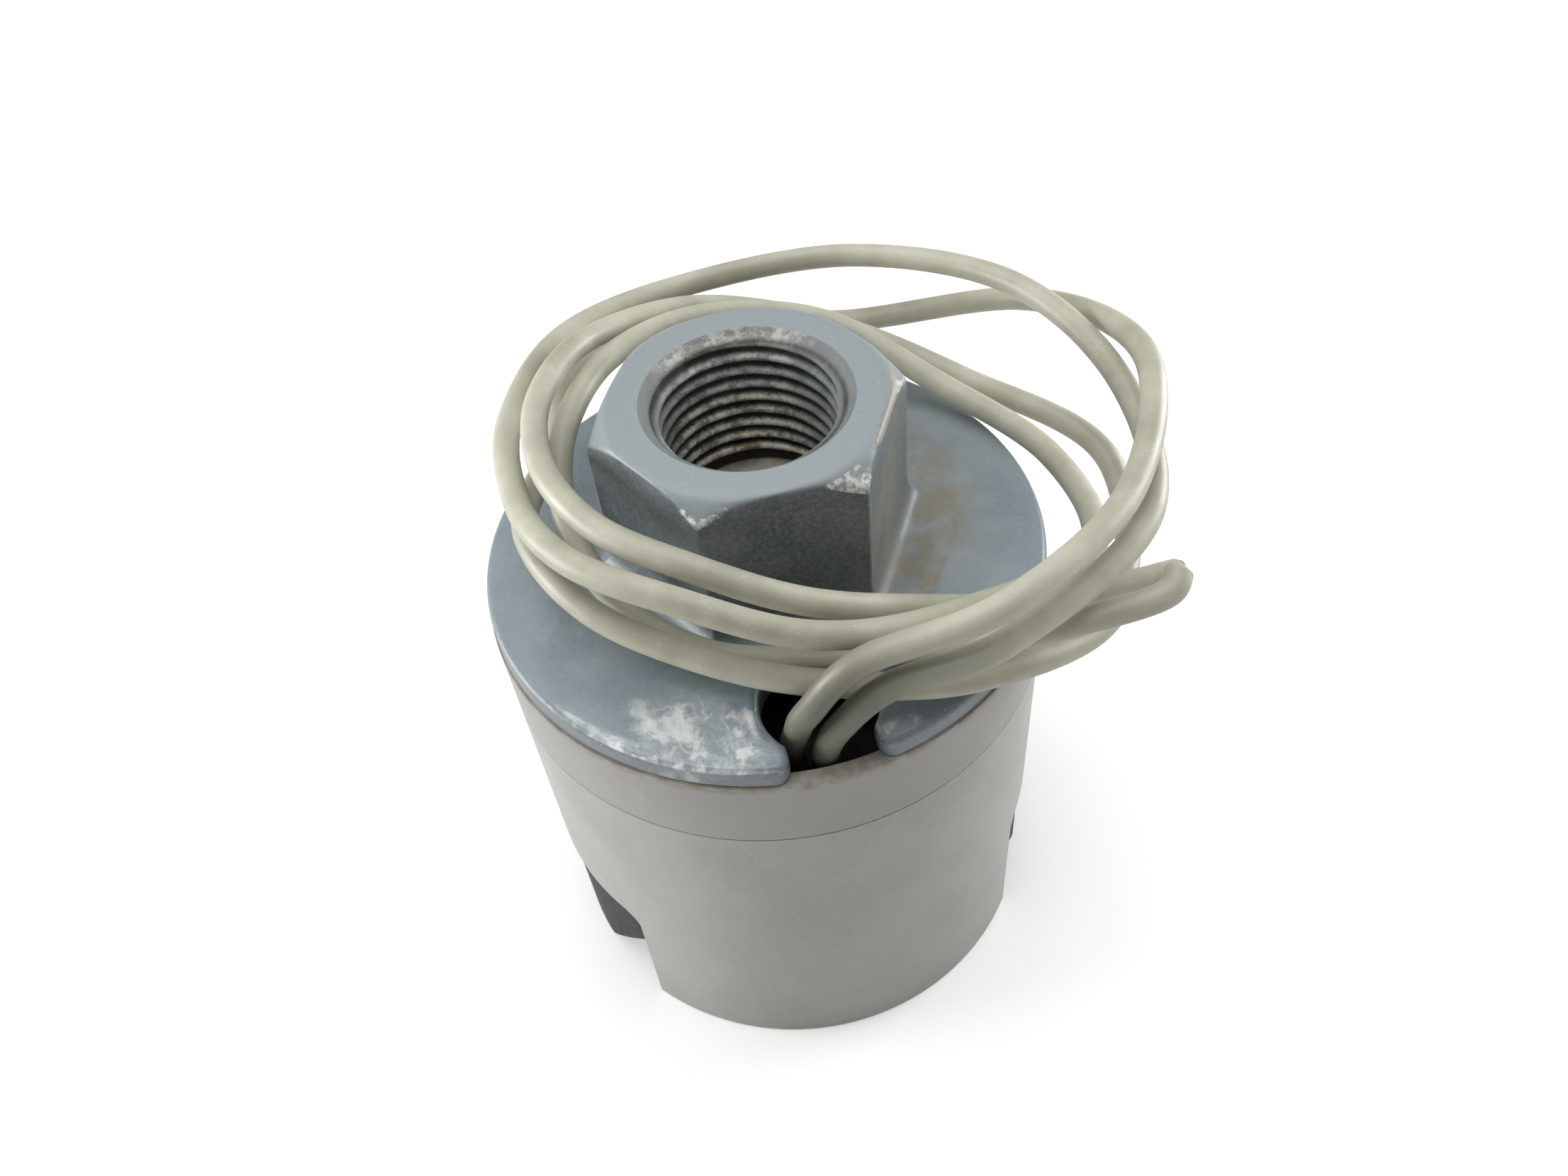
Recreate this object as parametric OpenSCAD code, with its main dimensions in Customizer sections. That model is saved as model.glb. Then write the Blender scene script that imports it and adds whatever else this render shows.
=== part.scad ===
// Small submersible pump: a plain round skirt that stands on its foot, a cast lid with a hexagonal threaded
// outlet, a sealed motor and one impeller stage hung under the lid, and two bare leads that leave by a notch.
// Millimetres. Z is the pump's axis, the skirt's foot stands on z = 0, and the lead notch faces -Y.

/* [Skirt] */
// Outside diameter of the skirt
skirt_d = 64.4; // [60:0.1:80]
// Wall of the skirt
skirt_wall = 1.8; // [1.2:0.1:2.4]
// Height of the skirt, from the floor to its rim
skirt_h = 60; // [60:0.5:80]
// Straight width of each of the two intake slots
slot_w = 41; // [20:0.5:44]
// Height of each intake slot
slot_h = 21.5; // [8:0.5:24]
// Radius in the upper corners of a slot
slot_corner = 2.5; // [1:0.5:4]
// Distance of the fine witness line below the rim
witness_drop = 9.9; // [3:0.1:14]

/* [Discharge head] */
// How far the disc's rim stands back from the skirt's outside
disc_inset = 0.2; // [0:0.1:1]
// Thickness of the disc at its rim
disc_t = 3; // [2:0.1:5]
// Rise of the disc's top from its rim to the hexagon
disc_rise = 1.2; // [0:0.1:2]
// Rounding of the disc's two rim edges
rim_round = 0.9; // [0.3:0.1:1.2]
// Size across the flats of the hexagon
hex_af = 29.8; // [27:0.1:36]
// Height of the hexagon's top above the disc's underside
hex_h = 24; // [18:0.5:30]
// Radius at which the corner chamfer starts on the hexagon's top
chamfer_r = 14.9; // [14:0.1:17]
// Height of the cast foot that flares from the hexagon into the disc
flare_h = 5; // [2:0.5:8]
// How far that foot spreads beyond the hexagon's corners
flare_spread = 2.6; // [1:0.1:4]
// Major diameter of the outlet thread
thread_d = 21; // [18:0.1:24]
// Depth of the outlet thread and its relief
thread_depth = 18.5; // [12:0.5:20]
// Radial width of the countersink at the outlet's mouth
countersink = 0.8; // [0.3:0.1:1.5]
// Diameter of the port below the thread
port_d = 15; // [14:0.5:16]
// Diameter of the neck under the disc
neck_d = 27; // [26:0.5:30]

/* [Lead notch] */
// Diameter of the round end of the notch
notch_d = 12.4; // [10:0.1:13]
// Width of the notch's mouth at the rim
mouth_w = 9.2; // [8:0.1:10]
// Distance of the round end's centre from the disc's rim
notch_inset = 7.5; // [7:0.1:8]
// Rounding of the two horns beside the mouth
horn_round = 1.6; // [0.8:0.1:2]

/* [Casing] */
// Gap between the skirt and the casing
casing_gap = 0.8; // [0.4:0.1:1.5]
// Share of a slot's width that the casing's key fills at its foot
key_share = 0.58; // [0.3:0.01:0.7]
// How far a key's face stands back from the skirt's outside
key_inset = 0.5; // [0.4:0.1:0.9]
// Wall of the casing
casing_wall = 1.8; // [1.2:0.1:1.8]
// Thickness of the casing's top
casing_top_t = 3; // [2:0.1:4]
// Space between the casing's top and the disc
head_space = 10; // [9:0.5:14]
// Height of the base cover above the floor
foot_gap = 5.5; // [4:0.5:7]
// Thickness of the base cover
base_t = 3.5; // [3:0.1:4.5]
// Diameter of the suction eye
eye_d = 13; // [11:0.5:14]
// Thickness of the two flat gaskets
gasket_t = 0.8; // [0.5:0.1:1.2]

/* [Pump stage] */
// Diameter of the impeller
impeller_d = 32; // [26:0.5:32]
// Height of the impeller's blades
blade_h = 4.4; // [3:0.1:5]
// Number of impeller blades
blade_count = 6; // [4:1:8]
// Running gap under the blades
blade_gap = 0.6; // [0.4:0.1:1]
// Number of diffuser vanes
vane_count = 8; // [4:4:12]
// Thickness of blades and vanes
blade_t = 1.2; // [0.8:0.1:1.6]

/* [Motor] */
// Width of the water jacket between the casing and the motor
jacket_w = 6.3; // [6:0.1:8]
// Wall of the motor housing
motor_wall = 1.6; // [1.2:0.1:2]
// Water space between the motor and the spigot above it
motor_clear = 5.2; // [4:0.1:6]
// Diameter of the rotor
rotor_d = 22; // [18:0.5:22]
// Air gap between rotor and stator
air_gap = 0.5; // [0.3:0.1:0.8]
// Diameter of the shaft
shaft_d = 5; // [4:0.1:6]
// Radial running clearance of the bearings
run_fit = 0.05; // [0.02:0.01:0.08]
// Length of each bearing bush
bush_l = 4; // [3:0.5:5]
// Number of winding slots in the stator
slot_count = 12; // [6:6:12]

/* [Check valve] */
// Lift of the valve's poppet
lift = 4; // [2:0.5:5]
// Diameter of the poppet
poppet_d = 12.8; // [11:0.1:13]
// Diameter of the opening in the seat
seat_bore = 9.6; // [8:0.1:10.4]
// Diameter of the poppet's stem
stem_d = 2.5; // [2:0.1:3]

/* [Leads] */
// Outside diameter of each lead
lead_d = 2.9; // [2:0.1:3]
// Distance between the two leads where they leave the grommet
lead_pitch = 3.6; // [3.4:0.1:4]

/* [Hidden] */
$fn = 96;

eps = 0.01;                 // overshoot of a cut beyond the face that it leaves
witness_t = 0.1;            // depth of the witness line, and half its width
witness_z = skirt_h - witness_drop;
casing_round = 2;           // rounding of the casing's top edge
rib_t = 1.6;                // thickness and height of the ribs under the casing's top, and where they start
rib_h = 2;
rib_inset = 5;
skirt_r = skirt_d / 2;
skirt_in = skirt_r - skirt_wall;
disc_r = skirt_r - disc_inset;
notch_r = disc_r - notch_inset;
disc_top = skirt_h + disc_t;
hex_r = hex_af / 2 / cos(30);
hex_top = skirt_h + hex_h;
ledge_z = hex_top - thread_depth;

// Heights of the casing and of what hangs in it, from the floor up
base_z = foot_gap;
base_top = base_z + base_t;
wall_z = base_top + gasket_t;
casing_top = skirt_h - head_space;
casing_r = skirt_in - casing_gap;
casing_in = casing_r - casing_wall;
plate_z = casing_top - casing_top_t;
key_gap = 0.3;
key_foot = 1.5;             // height of a key's lower edge above the floor
key_slant = 0.72;           // share of the slot's height at which a key starts to narrow
neck_z = casing_top + gasket_t;

// The threaded spigot under the neck and the nut that clamps the casing to it
spigot_r = 10.5;
nut_t = 4.5;
nut_z = plate_z - nut_t;
spigot_z = nut_z - 0.5;

// The locating ring under the disc, which enters the skirt's rim
register_gap = 0.05;
register_r = skirt_in - register_gap;
register_h = 2.5;
register_w = 2;

// Screws that hold the base cover to the casing's posts
screw_count = 4;
screw_r = 1.5;
screw_head_r = 2.7;
screw_head_t = 1.6;
screw_l = 11;
post_r = 3;
post_h = 12;
post_top = wall_z + post_h;
post_place_r = casing_in - post_r + 0.2;
post_turn = 22.5;

// Pump stage
blade_z = base_top + blade_gap;
shroud_t = 1.2;
shroud_z = blade_z + blade_h;
shroud_top = shroud_z + shroud_t;
hub_r = shaft_d / 2 + 1.9;
diffuser_plate_z = shroud_top + 1;
diffuser_plate_t = 1.6;
motor_z = diffuser_plate_z + diffuser_plate_t;
blade_sweep = 55;
vane_in = impeller_d / 2 + 1.2;
vane_out = casing_in - 0.8;
vane_sweep = 14;
vane_turn = post_turn - 180 / vane_count - 0.8 * vane_sweep;  // puts each screw post midway between two vanes
nut_af = 6;
nut_h = 2;

// Motor
motor_r = casing_in - jacket_w;
motor_in = motor_r - motor_wall;
shaft_r = shaft_d / 2;
seal_r = shaft_r + 3;
seal_t = 2;
seal_lip = 1.2;
seal_rim = 1;
seal_groove = 1;
bush_r = shaft_r + 2.1;
boss_r = bush_r + 2.4;
washer_t = 0.4;
washer_w = 2.4;
washer_gap = 0.1;
cover_cap = 1;
lower_bush_z = motor_z + seal_t;
pack_z = lower_bush_z + bush_l + washer_gap + washer_t;
pack_t = spigot_z - motor_clear - cover_cap - bush_l - washer_gap - washer_t - pack_z;
pack_top = pack_z + pack_t;
upper_bush_z = pack_top + washer_t + washer_gap;
winding_h = 1.9;
cover_z = pack_top + winding_h + 1.1;
cover_top = upper_bush_z + bush_l + cover_cap;
rotor_r = rotor_d / 2;
stator_bore = rotor_r + air_gap;
wire_slot_r = 1.4;
wire_slot_place = stator_bore + 3.2;

// Check valve in the neck
port_r = port_d / 2;
lip_z = plate_z + 0.5;
seat_t = 2.5;
seat_top = lip_z + seat_t;
poppet_t = 2;
shoulder_t = 0.5;
guide_z = seat_top + poppet_t + shoulder_t + lift + 0.1;
guide_t = 3;
stem_top = guide_z + guide_t + 2;

// Lead well, grommet and leads
lead_x = -1.5;
lead_y = -notch_r;
well_wall = 1;
well_in = lead_d / 2 + 0.45;
well_out = well_in + well_wall;
grommet_r = well_out + 0.3;
grommet_rim = 1;
lead_fit = 0.2;
grommet_top = casing_top + 1.5;
lobe_w = lead_pitch + 2 * well_out - 1.2;

// Passage of the leads through the motor cover
cover_lip = 1.6;
passage_floor = 0.7;
passage_w = 5;
passage_h = 1.1;
passage_drop = 2.4;
passage_in = motor_in - cover_lip - passage_drop - 1;

// Route of each lead: straight up through the grommet from the potting, points up through the notch, then one
// station every 30 degrees round the hexagon as [radius, height], then points to the cut end. Both leads make
// two loose turns.
function straight(x) = [[x, lead_y, plate_z], [x, lead_y, casing_top], [x, lead_y, grommet_top + 0.5]];
station_step = 30;
station_start = -60;
route_a_rise = concat(straight(lead_x - lead_pitch / 2),
    [[-3.5, -25.5, 57], [-3, -27, 62.5], [-2, -29, 68], [3.5, -29.5, 74.5]]);
route_a_turns = [[35, 79], [39.5, 79], [44, 78.5], [46, 70], [39, 64], [35.5, 68], [31, 71], [24.5, 71.5],
    [25.5, 72.5], [24.5, 72], [23.5, 70], [25.5, 67.5], [32.5, 65.5], [40, 60.5], [41.5, 63.5], [34.5, 64.5],
    [31.5, 69], [30.5, 73.5], [28, 77], [24, 80], [22, 81], [21, 81], [20.5, 80], [21, 75], [23.5, 69]];
route_a_end = [[26, -21, 65.5], [42, -19.5, 63.5]];
route_b_rise = concat(straight(lead_x + lead_pitch / 2),
    [[0, -27, 56], [-0.5, -28.5, 60], [1, -29.5, 65], [6, -30.5, 71]]);
route_b_turns = [[35.5, 74], [41.5, 75.5], [41.5, 75.5], [42, 75], [41.5, 72.5], [37, 72.5], [33, 75],
    [28.5, 76], [25.5, 77], [25, 79.5], [24.5, 79.5], [25.5, 75], [28, 71.5], [36.5, 69], [34.5, 65.5],
    [30, 66.5], [29, 71.5], [26.5, 75], [24, 76.5], [22, 75.5], [21, 73], [20.5, 69.5], [20.5, 67], [22, 67],
    [30, 68.5]];
route_b_end = [[26.5, -28, 70.5], [34.5, -28.5, 72], [37, -26.5, 73]];

// ---- Curves and outlines ----

// Points of an arc about [x, y], from angle a to angle b
function arc(x, y, r, a, b, n) =
    [for (i = [0:n]) let (t = a + (b - a) * i / n) [x + r * cos(t), y + r * sin(t)]];

// Catmull-Rom curve through the points p: steps rings for each span between two points
function spline_point(a, b, c, d, t) =
    (2 * b + (c - a) * t + (2 * a - 5 * b + 4 * c - d) * t * t + (3 * b - a - 3 * c + d) * t * t * t) / 2;
function spline(p, steps) =
    let (n = len(p), q = concat([2 * p[0] - p[1]], p, [2 * p[n - 1] - p[n - 2]]))
    concat([for (i = [0:n - 2]) for (k = [0:steps - 1])
        spline_point(q[i], q[i + 1], q[i + 2], q[i + 3], k / steps)], [p[n - 1]]);

// Whole route of a lead: its rise, its stations round the hexagon and its end
function route(rise, turns, last) =
    concat(rise, [for (i = [0:len(turns) - 1])
        let (a = station_start + station_step * i)
        [turns[i][0] * cos(a), turns[i][0] * sin(a), turns[i][1]]], last);
route_a = route(route_a_rise, route_a_turns, route_a_end);
route_b = route(route_b_rise, route_b_turns, route_b_end);

// Tube of radius r along the points p, its rings carried along without twist
function unit(v) = v / norm(v);
function headings(p) = [for (i = [0:len(p) - 1]) unit(p[min(i + 1, len(p) - 1)] - p[max(i - 1, 0)])];
function carried(t, n, i) = i == len(t) ? [] :
    let (m = unit(n - (n * t[i]) * t[i])) concat([m], carried(t, m, i + 1));
module tube(p, r, sides) {
    t = headings(p);
    n = carried(t, [1, 0, 0], 0);
    rings = [for (i = [0:len(p) - 1]) for (k = [0:sides - 1])
        let (b = cross(t[i], n[i]), w = 360 * k / sides) p[i] + r * (cos(w) * n[i] + sin(w) * b)];
    last = (len(p) - 1) * sides;
    polyhedron(rings, concat(
        [[for (k = [0:sides - 1]) k]],
        [for (i = [0:len(p) - 2]) for (k = [0:sides - 1]) let (a = i * sides, j = (k + 1) % sides)
            each [[a + k, a + sides + k, a + j], [a + j, a + sides + k, a + sides + j]]],
        [[for (k = [sides - 1:-1:0]) last + k]]));
}

// Least gap between the walls of two stretches of lead, measured on points of their routes
gap_steps = 10;
gap_skip = 22;
function self_gap(p) =
    min([for (i = [0:len(p) - gap_skip - 1]) for (j = [i + gap_skip:len(p) - 1]) norm(p[i] - p[j])]) - lead_d;
function cross_gap(p, q) = min([for (a = p) for (b = q) norm(a - b)]) - lead_d;
union() {
    fine_a = spline(route_a, gap_steps);
    fine_b = spline(route_b, gap_steps);
    echo(lead_a_gap = self_gap(fine_a), lead_b_gap = self_gap(fine_b), leads_gap = cross_gap(fine_a, fine_b));
}

// Slab between two heights with the outline of its children
module slab(z0, z1) translate([0, 0, z0]) linear_extrude(z1 - z0) children();

// Ring between two radii and two heights
module ring(r_in, r_out, z0, z1) difference() {
    translate([0, 0, z0]) cylinder(r = r_out, h = z1 - z0);
    translate([0, 0, z0 - 1]) cylinder(r = r_in, h = z1 - z0 + 2);
}

// Rod on the pump's axis
module rod(r, z0, z1) translate([0, 0, z0]) cylinder(r = r, h = z1 - z0);

// Long round outline that holds the pair of leads, r around each lead's centre
module pair_outline(r) translate([lead_x, lead_y]) {
    square([lead_pitch, 2 * r], center = true);
    for (side = [-1, 1]) translate([side * lead_pitch / 2, 0]) circle(r);
}

// Places its children at each screw post
module at_posts() for (i = [0:screw_count - 1]) rotate(post_turn + 360 / screw_count * i)
    translate([post_place_r, 0, 0]) children();

// ---- Discharge head ----

// Half section of the cast disc, its locating ring, the neck and the threaded spigot
module head_section() polygon(concat(
    [[0, spigot_z], [spigot_r - 0.5, spigot_z], [spigot_r, spigot_z + 0.5], [spigot_r, neck_z],
        [neck_d / 2, neck_z]],
    arc(neck_d / 2 + 2, skirt_h - 2, 2, 180, 90, 6),
    [[register_r - register_w, skirt_h], [register_r - register_w, skirt_h - register_h],
        [register_r, skirt_h - register_h], [register_r, skirt_h]],
    arc(disc_r - rim_round, skirt_h + rim_round, rim_round, -90, 0, 5),
    arc(disc_r - rim_round, disc_top - rim_round, rim_round, 0, 88, 5),
    [[hex_r + flare_spread, disc_top + disc_rise], [0, disc_top + disc_rise]]));

// Hexagon with a flat to -Y, its corners turned off by a cone of 45 degrees
module hexagon() intersection() {
    slab(disc_top - 0.5, hex_top) circle(hex_r, $fn = 6);
    translate([0, 0, disc_top - 1]) rotate_extrude() polygon([[0, 0], [hex_r + 1, 0],
        [hex_r + 1, hex_top - disc_top + 1 - (hex_r + 1 - chamfer_r)], [chamfer_r, hex_top - disc_top + 1],
        [0, hex_top - disc_top + 1]]);
}

// Cast foot that flares from the hexagon's corners into the disc
module flare() {
    z = disc_top + disc_rise;
    rotate_extrude() polygon(concat([[0, z - 1], [hex_r + flare_spread, z - 1]],
        [for (i = [0:6]) let (t = i / 6)
            [hex_af / 2 + (hex_r - hex_af / 2 + flare_spread) * (1 - t) * (1 - t), z + flare_h * t * t]],
        [[0, z + flare_h]]));
}

// Keyhole that lets the leads out through the disc and its locating ring
module notch_cut() slab(skirt_h - register_h - 1, disc_top + disc_rise + 1) {
    translate([0, -notch_r]) circle(notch_d / 2);
    translate([-mouth_w / 2, -disc_r - 2]) square([mouth_w, disc_r + 2 - notch_r]);
    for (side = [-1, 1]) {
        tip_y = -sqrt(pow(disc_r, 2) - pow(mouth_w / 2 + horn_round, 2));
        difference() {
            translate([side > 0 ? mouth_w / 2 - eps : -mouth_w / 2 - horn_round, tip_y - 2])
                square([horn_round + eps, horn_round + 2]);
            translate([side * (mouth_w / 2 + horn_round), tip_y + horn_round]) circle(horn_round);
        }
    }
}

module discharge_head() color("#87929b") difference() {
    union() {
        rotate_extrude() head_section();
        hexagon();
        flare();
    }
    notch_cut();
    rod(thread_d / 2, ledge_z, hex_top + 1);
    translate([0, 0, hex_top - countersink])
        cylinder(r1 = thread_d / 2, r2 = thread_d / 2 + countersink + eps, h = countersink + eps);
    rod(port_r, lip_z, ledge_z + 1);
    rod(port_r - 1.5, spigot_z - 1, lip_z + 1);
}

// ---- Skirt ----

// Outline of an intake slot, open at the foot, seen along X
module slot_outline() {
    translate([-slot_w / 2, -1]) square([slot_w, slot_h + 1 - slot_corner]);
    translate([-slot_w / 2 + slot_corner, -1]) square([slot_w - 2 * slot_corner, slot_h + 1]);
    for (side = [-1, 1]) translate([side * (slot_w / 2 - slot_corner), slot_h - slot_corner])
        circle(slot_corner);
}

module skirt() color("#8f8a85") difference() {
    ring(skirt_in, skirt_r, 0, skirt_h);
    rotate([90, 0, 90]) translate([0, 0, -skirt_r - 1]) linear_extrude(2 * skirt_r + 2) slot_outline();
    ring(skirt_r - witness_t, skirt_r + 1, witness_z - witness_t, witness_z + witness_t);
    translate([0, 0, -eps]) difference() {
        cylinder(r = skirt_r + 1, h = 0.4);
        cylinder(r1 = skirt_r - 0.4, r2 = skirt_r, h = 0.4);
    }
}

// ---- Casing and base ----

// Outline of a key, seen from the side: it fills the slot's upper part and narrows to its foot
module key_outline() {
    round_r = slot_corner - key_gap;
    hull() for (side = [-1, 1], h = [slot_h - slot_corner, key_slant * slot_h])
        translate([side * (slot_w / 2 - slot_corner), h]) circle(round_r);
    hull() for (side = [-1, 1]) {
        translate([side * (slot_w / 2 - slot_corner), key_slant * slot_h]) circle(round_r);
        translate([side * (key_share * slot_w / 2 - round_r), key_foot + round_r]) circle(round_r);
    }
}

// Two curved pads that hang from the casing's wall into the slots, where they keep it from turning
module keys() intersection() {
    difference() {
        rod(skirt_r - key_inset, key_foot, slot_h - key_gap);
        rod(casing_r + key_gap, 0, wall_z);
        rod(casing_r - casing_wall / 2, 0, slot_h);
    }
    rotate([90, 0, 90]) translate([0, 0, -skirt_r]) linear_extrude(2 * skirt_r) key_outline();
}

module pump_casing() color("#26282b") difference() {
    union() {
        keys();
        difference() {
            rotate_extrude() polygon(concat([[0, wall_z], [casing_r, wall_z]],
                arc(casing_r - casing_round, casing_top - casing_round, casing_round, 0, 90, 6),
                [[0, casing_top]]));
            rod(casing_in, wall_z - 1, plate_z);
        }
        at_posts() rod(post_r, wall_z, post_top);
        for (i = [0:7]) rotate(45 * i + post_turn) translate([spigot_r + rib_inset, -rib_t / 2, plate_z - rib_h])
            cube([casing_in - spigot_r - rib_inset + 0.5, rib_t, rib_h + eps]);
    }
    rod(spigot_r, plate_z - 3, casing_top + 1);
    slab(plate_z - 3, casing_top + 1) pair_outline(grommet_r);
    at_posts() rod(screw_r, wall_z - 1, base_z + screw_head_t + screw_l + 0.5);
}

module base_cover() color("#26282b") difference() {
    rotate_extrude() polygon(concat(
        arc(eye_d / 2 + 1.2, base_z + 1.2, 1.2, 180, 270, 5),
        arc(casing_r - 3, base_z + 3, 3, -90, 0, 8),
        [[casing_r, base_top], [eye_d / 2, base_top]]));
    at_posts() rod(screw_r + 0.2, base_z - 1, base_top + 1);
    at_posts() rod(screw_head_r + 0.3, base_z - 1, base_z + screw_head_t);
}

module base_gasket() color("#1c1c1e") difference() {
    rod(casing_r - 0.3, base_top, wall_z);
    difference() {
        rod(casing_in - 0.6, base_top - 1, wall_z + 1);
        at_posts() rod(post_r, base_top - 2, wall_z + 2);
    }
    at_posts() rod(screw_r + 0.2, base_top - 1, wall_z + 1);
}

module base_screws() color("#b9bcbf") at_posts() difference() {
    union() {
        rod(screw_head_r, base_z, base_z + screw_head_t);
        rod(screw_r, base_z + screw_head_t - eps, base_z + screw_head_t + screw_l);
    }
    for (a = [0, 90]) rotate(a) translate([-1.6, -0.3, base_z - 1]) cube([3.2, 0.6, 1.8]);
}

module neck_gasket() color("#1c1c1e") ring(spigot_r, neck_d / 2 - 0.2, casing_top, neck_z);

module ring_nut() color("#a9842f") difference() {
    ring(spigot_r, spigot_r + 4, nut_z, plate_z);
    for (a = [0:60:300]) rotate(a) translate([spigot_r + 2.5, -1.5, nut_z - 1]) cube([3, 3, nut_t - 0.5]);
}

// ---- Check valve ----

module valve_seat() color("#a9842f") rotate_extrude() polygon([[seat_bore / 2 + 0.6, lip_z], [port_r, lip_z],
    [port_r, seat_top - 0.6], [port_r - 0.6, seat_top - 0.6], [poppet_d / 2 - 0.2, seat_top],
    [seat_bore / 2, seat_top], [seat_bore / 2, lip_z + 0.6]]);

module check_poppet() color("#d8d4c8") rotate_extrude() polygon(concat(
    [[0, seat_top - 1.8], [seat_bore / 2 - 2, seat_top - 1.8], [seat_bore / 2 - 0.6, seat_top],
        [poppet_d / 2, seat_top]],
    arc(poppet_d / 2 - 0.8, seat_top + poppet_t - 0.8, 0.8, 0, 90, 4),
    [[stem_d / 2 + 1, seat_top + poppet_t], [stem_d / 2 + 1, seat_top + poppet_t + shoulder_t],
        [stem_d / 2, seat_top + poppet_t + shoulder_t], [stem_d / 2, stem_top - 0.5],
        [stem_d / 2 - 0.5, stem_top], [0, stem_top]]));

module poppet_guide() color("#3a3d40") difference() {
    union() {
        ring(port_r - 1.2, port_r, guide_z, guide_z + guide_t);
        rod(stem_d / 2 + 1.5, guide_z, guide_z + guide_t);
        for (a = [0:120:240]) rotate(a) translate([0, -0.6, guide_z]) cube([port_r - 0.6, 1.2, guide_t]);
    }
    rod(stem_d / 2 + run_fit, guide_z - 1, guide_z + guide_t + 1);
}

// ---- Pump stage ----

// Outline of a blade from radius a to radius b that sweeps back by the angle turn
module blade_outline(a, b, turn, t) {
    steps = 8;
    function edge(side) = [for (i = [0:steps])
        let (s = i / steps, r = a + (b - a) * s, w = -turn * pow(s, 0.8))
        [r * cos(w) - side * t / 2 * sin(w), r * sin(w) + side * t / 2 * cos(w)]];
    function backwards(v) = [for (i = [len(v) - 1:-1:0]) v[i]];
    polygon(concat(edge(1), backwards(edge(-1))));
}

module impeller() color("#c8b070") difference() {
    union() {
        rod(impeller_d / 2, shroud_z, shroud_top);
        rod(hub_r, blade_z, shroud_top + 0.4);
        for (i = [0:blade_count - 1]) rotate(360 / blade_count * i) slab(blade_z, shroud_z + eps)
            blade_outline(hub_r - 0.5, impeller_d / 2, blade_sweep, blade_t);
    }
    rod(shaft_r, blade_z - 1, shroud_top + 2);
}

module impeller_nut() color("#b9bcbf") difference() {
    slab(blade_z - nut_h, blade_z) circle(nut_af / 2 / cos(30), $fn = 6);
    rod(shaft_r * 0.8, blade_z - nut_h - 1, blade_z + 1);
}

module diffuser() color("#35383b") {
    ring(hub_r + 0.6, motor_r, diffuser_plate_z, motor_z);
    for (i = [0:vane_count - 1]) rotate(360 / vane_count * i + vane_turn) slab(base_top, motor_z)
        blade_outline(vane_in, vane_out, -vane_sweep, blade_t);
}

// ---- Motor ----

module shaft() color("#c9ccd0") {
    rod(shaft_r, blade_z, upper_bush_z + bush_l - 0.5);
    rod(shaft_r * 0.8, blade_z - nut_h - 0.6, blade_z + eps);
}

module rotor_core() color("#8a8d92") ring(shaft_r, rotor_r, pack_z, pack_top);

module thrust_washers() color("#e0ddd0") {
    ring(shaft_r, shaft_r + washer_w, pack_z - washer_t, pack_z);
    ring(shaft_r, shaft_r + washer_w, pack_top, pack_top + washer_t);
}

module motor_housing() color("#2b2d30") difference() {
    union() {
        difference() {
            rod(motor_r, motor_z, cover_z);
            rod(motor_in, motor_z + seal_t, cover_z + 1);
        }
        rod(boss_r, motor_z, lower_bush_z + bush_l);
    }
    rod(seal_r, motor_z - 1, lower_bush_z);
    rod(bush_r, lower_bush_z - 1, lower_bush_z + bush_l + 1);
}

// Passage from the lead well into the motor, cut in the cover and filled by the potting: the well, a flat
// channel inwards and a drop through the cover's underside. The cut reaches over beyond both open ends.
module lead_passage(over) {
    slab(cover_z + passage_floor, plate_z + over) pair_outline(well_in);
    translate([lead_x - passage_w / 2, lead_y, cover_z + passage_floor])
        cube([passage_w, notch_r - passage_in, passage_h]);
    translate([lead_x - passage_w / 2, -passage_in - passage_drop, cover_z - over])
        cube([passage_w, passage_drop, passage_floor + passage_h + over]);
}

module motor_cover() color("#2b2d30") difference() {
    union() {
        rod(motor_r, cover_z, cover_top);
        rod(boss_r, upper_bush_z, cover_z + eps);
        ring(motor_in - cover_lip, motor_in, cover_z - 0.8, cover_z + eps);
        translate([lead_x - lobe_w / 2, lead_y, cover_z])
            cube([lobe_w, notch_r - motor_in + 3, cover_top - cover_z]);
        slab(cover_z, plate_z) pair_outline(well_out);
    }
    lead_passage(1);
    rod(bush_r, upper_bush_z - 1, upper_bush_z + bush_l);
}

module stator_core() color("#77797d") difference() {
    ring(stator_bore, motor_in, pack_z, pack_top);
    for (i = [0:slot_count - 1]) rotate(360 / slot_count * i)
        translate([wire_slot_place, 0, 0]) rod(wire_slot_r, pack_z - 1, pack_top + 1);
}

// End turn of the winding, rounded on the side away from the core
module end_turn(z, side) rotate_extrude() translate([0, z]) polygon(concat(
    [[stator_bore + 1, 0], [motor_in - 1.8, 0]],
    [for (p = arc(motor_in - 3, winding_h - 1.2, 1.2, 0, 90, 4)) [p[0], side * p[1]]],
    [for (p = arc(stator_bore + 2.2, winding_h - 1.2, 1.2, 90, 180, 4)) [p[0], side * p[1]]]));

module stator_winding() color("#a5602a") {
    end_turn(pack_z, -1);
    end_turn(pack_top, 1);
    for (i = [0:slot_count - 1]) rotate(360 / slot_count * i)
        translate([wire_slot_place, 0, 0]) rod(wire_slot_r, pack_z - 0.2, pack_top + 0.2);
}

module bush(z) color("#b08d4a") ring(shaft_r + run_fit, bush_r, z, z + bush_l);
module lower_bush() bush(lower_bush_z);
module upper_bush() bush(upper_bush_z);

module shaft_seal() color("#161618") difference() {
    ring(shaft_r + run_fit, seal_r, motor_z, lower_bush_z);
    ring(shaft_r + seal_lip, seal_r - seal_rim, motor_z - 1, motor_z + seal_groove);
}

// ---- Leads ----

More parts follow.
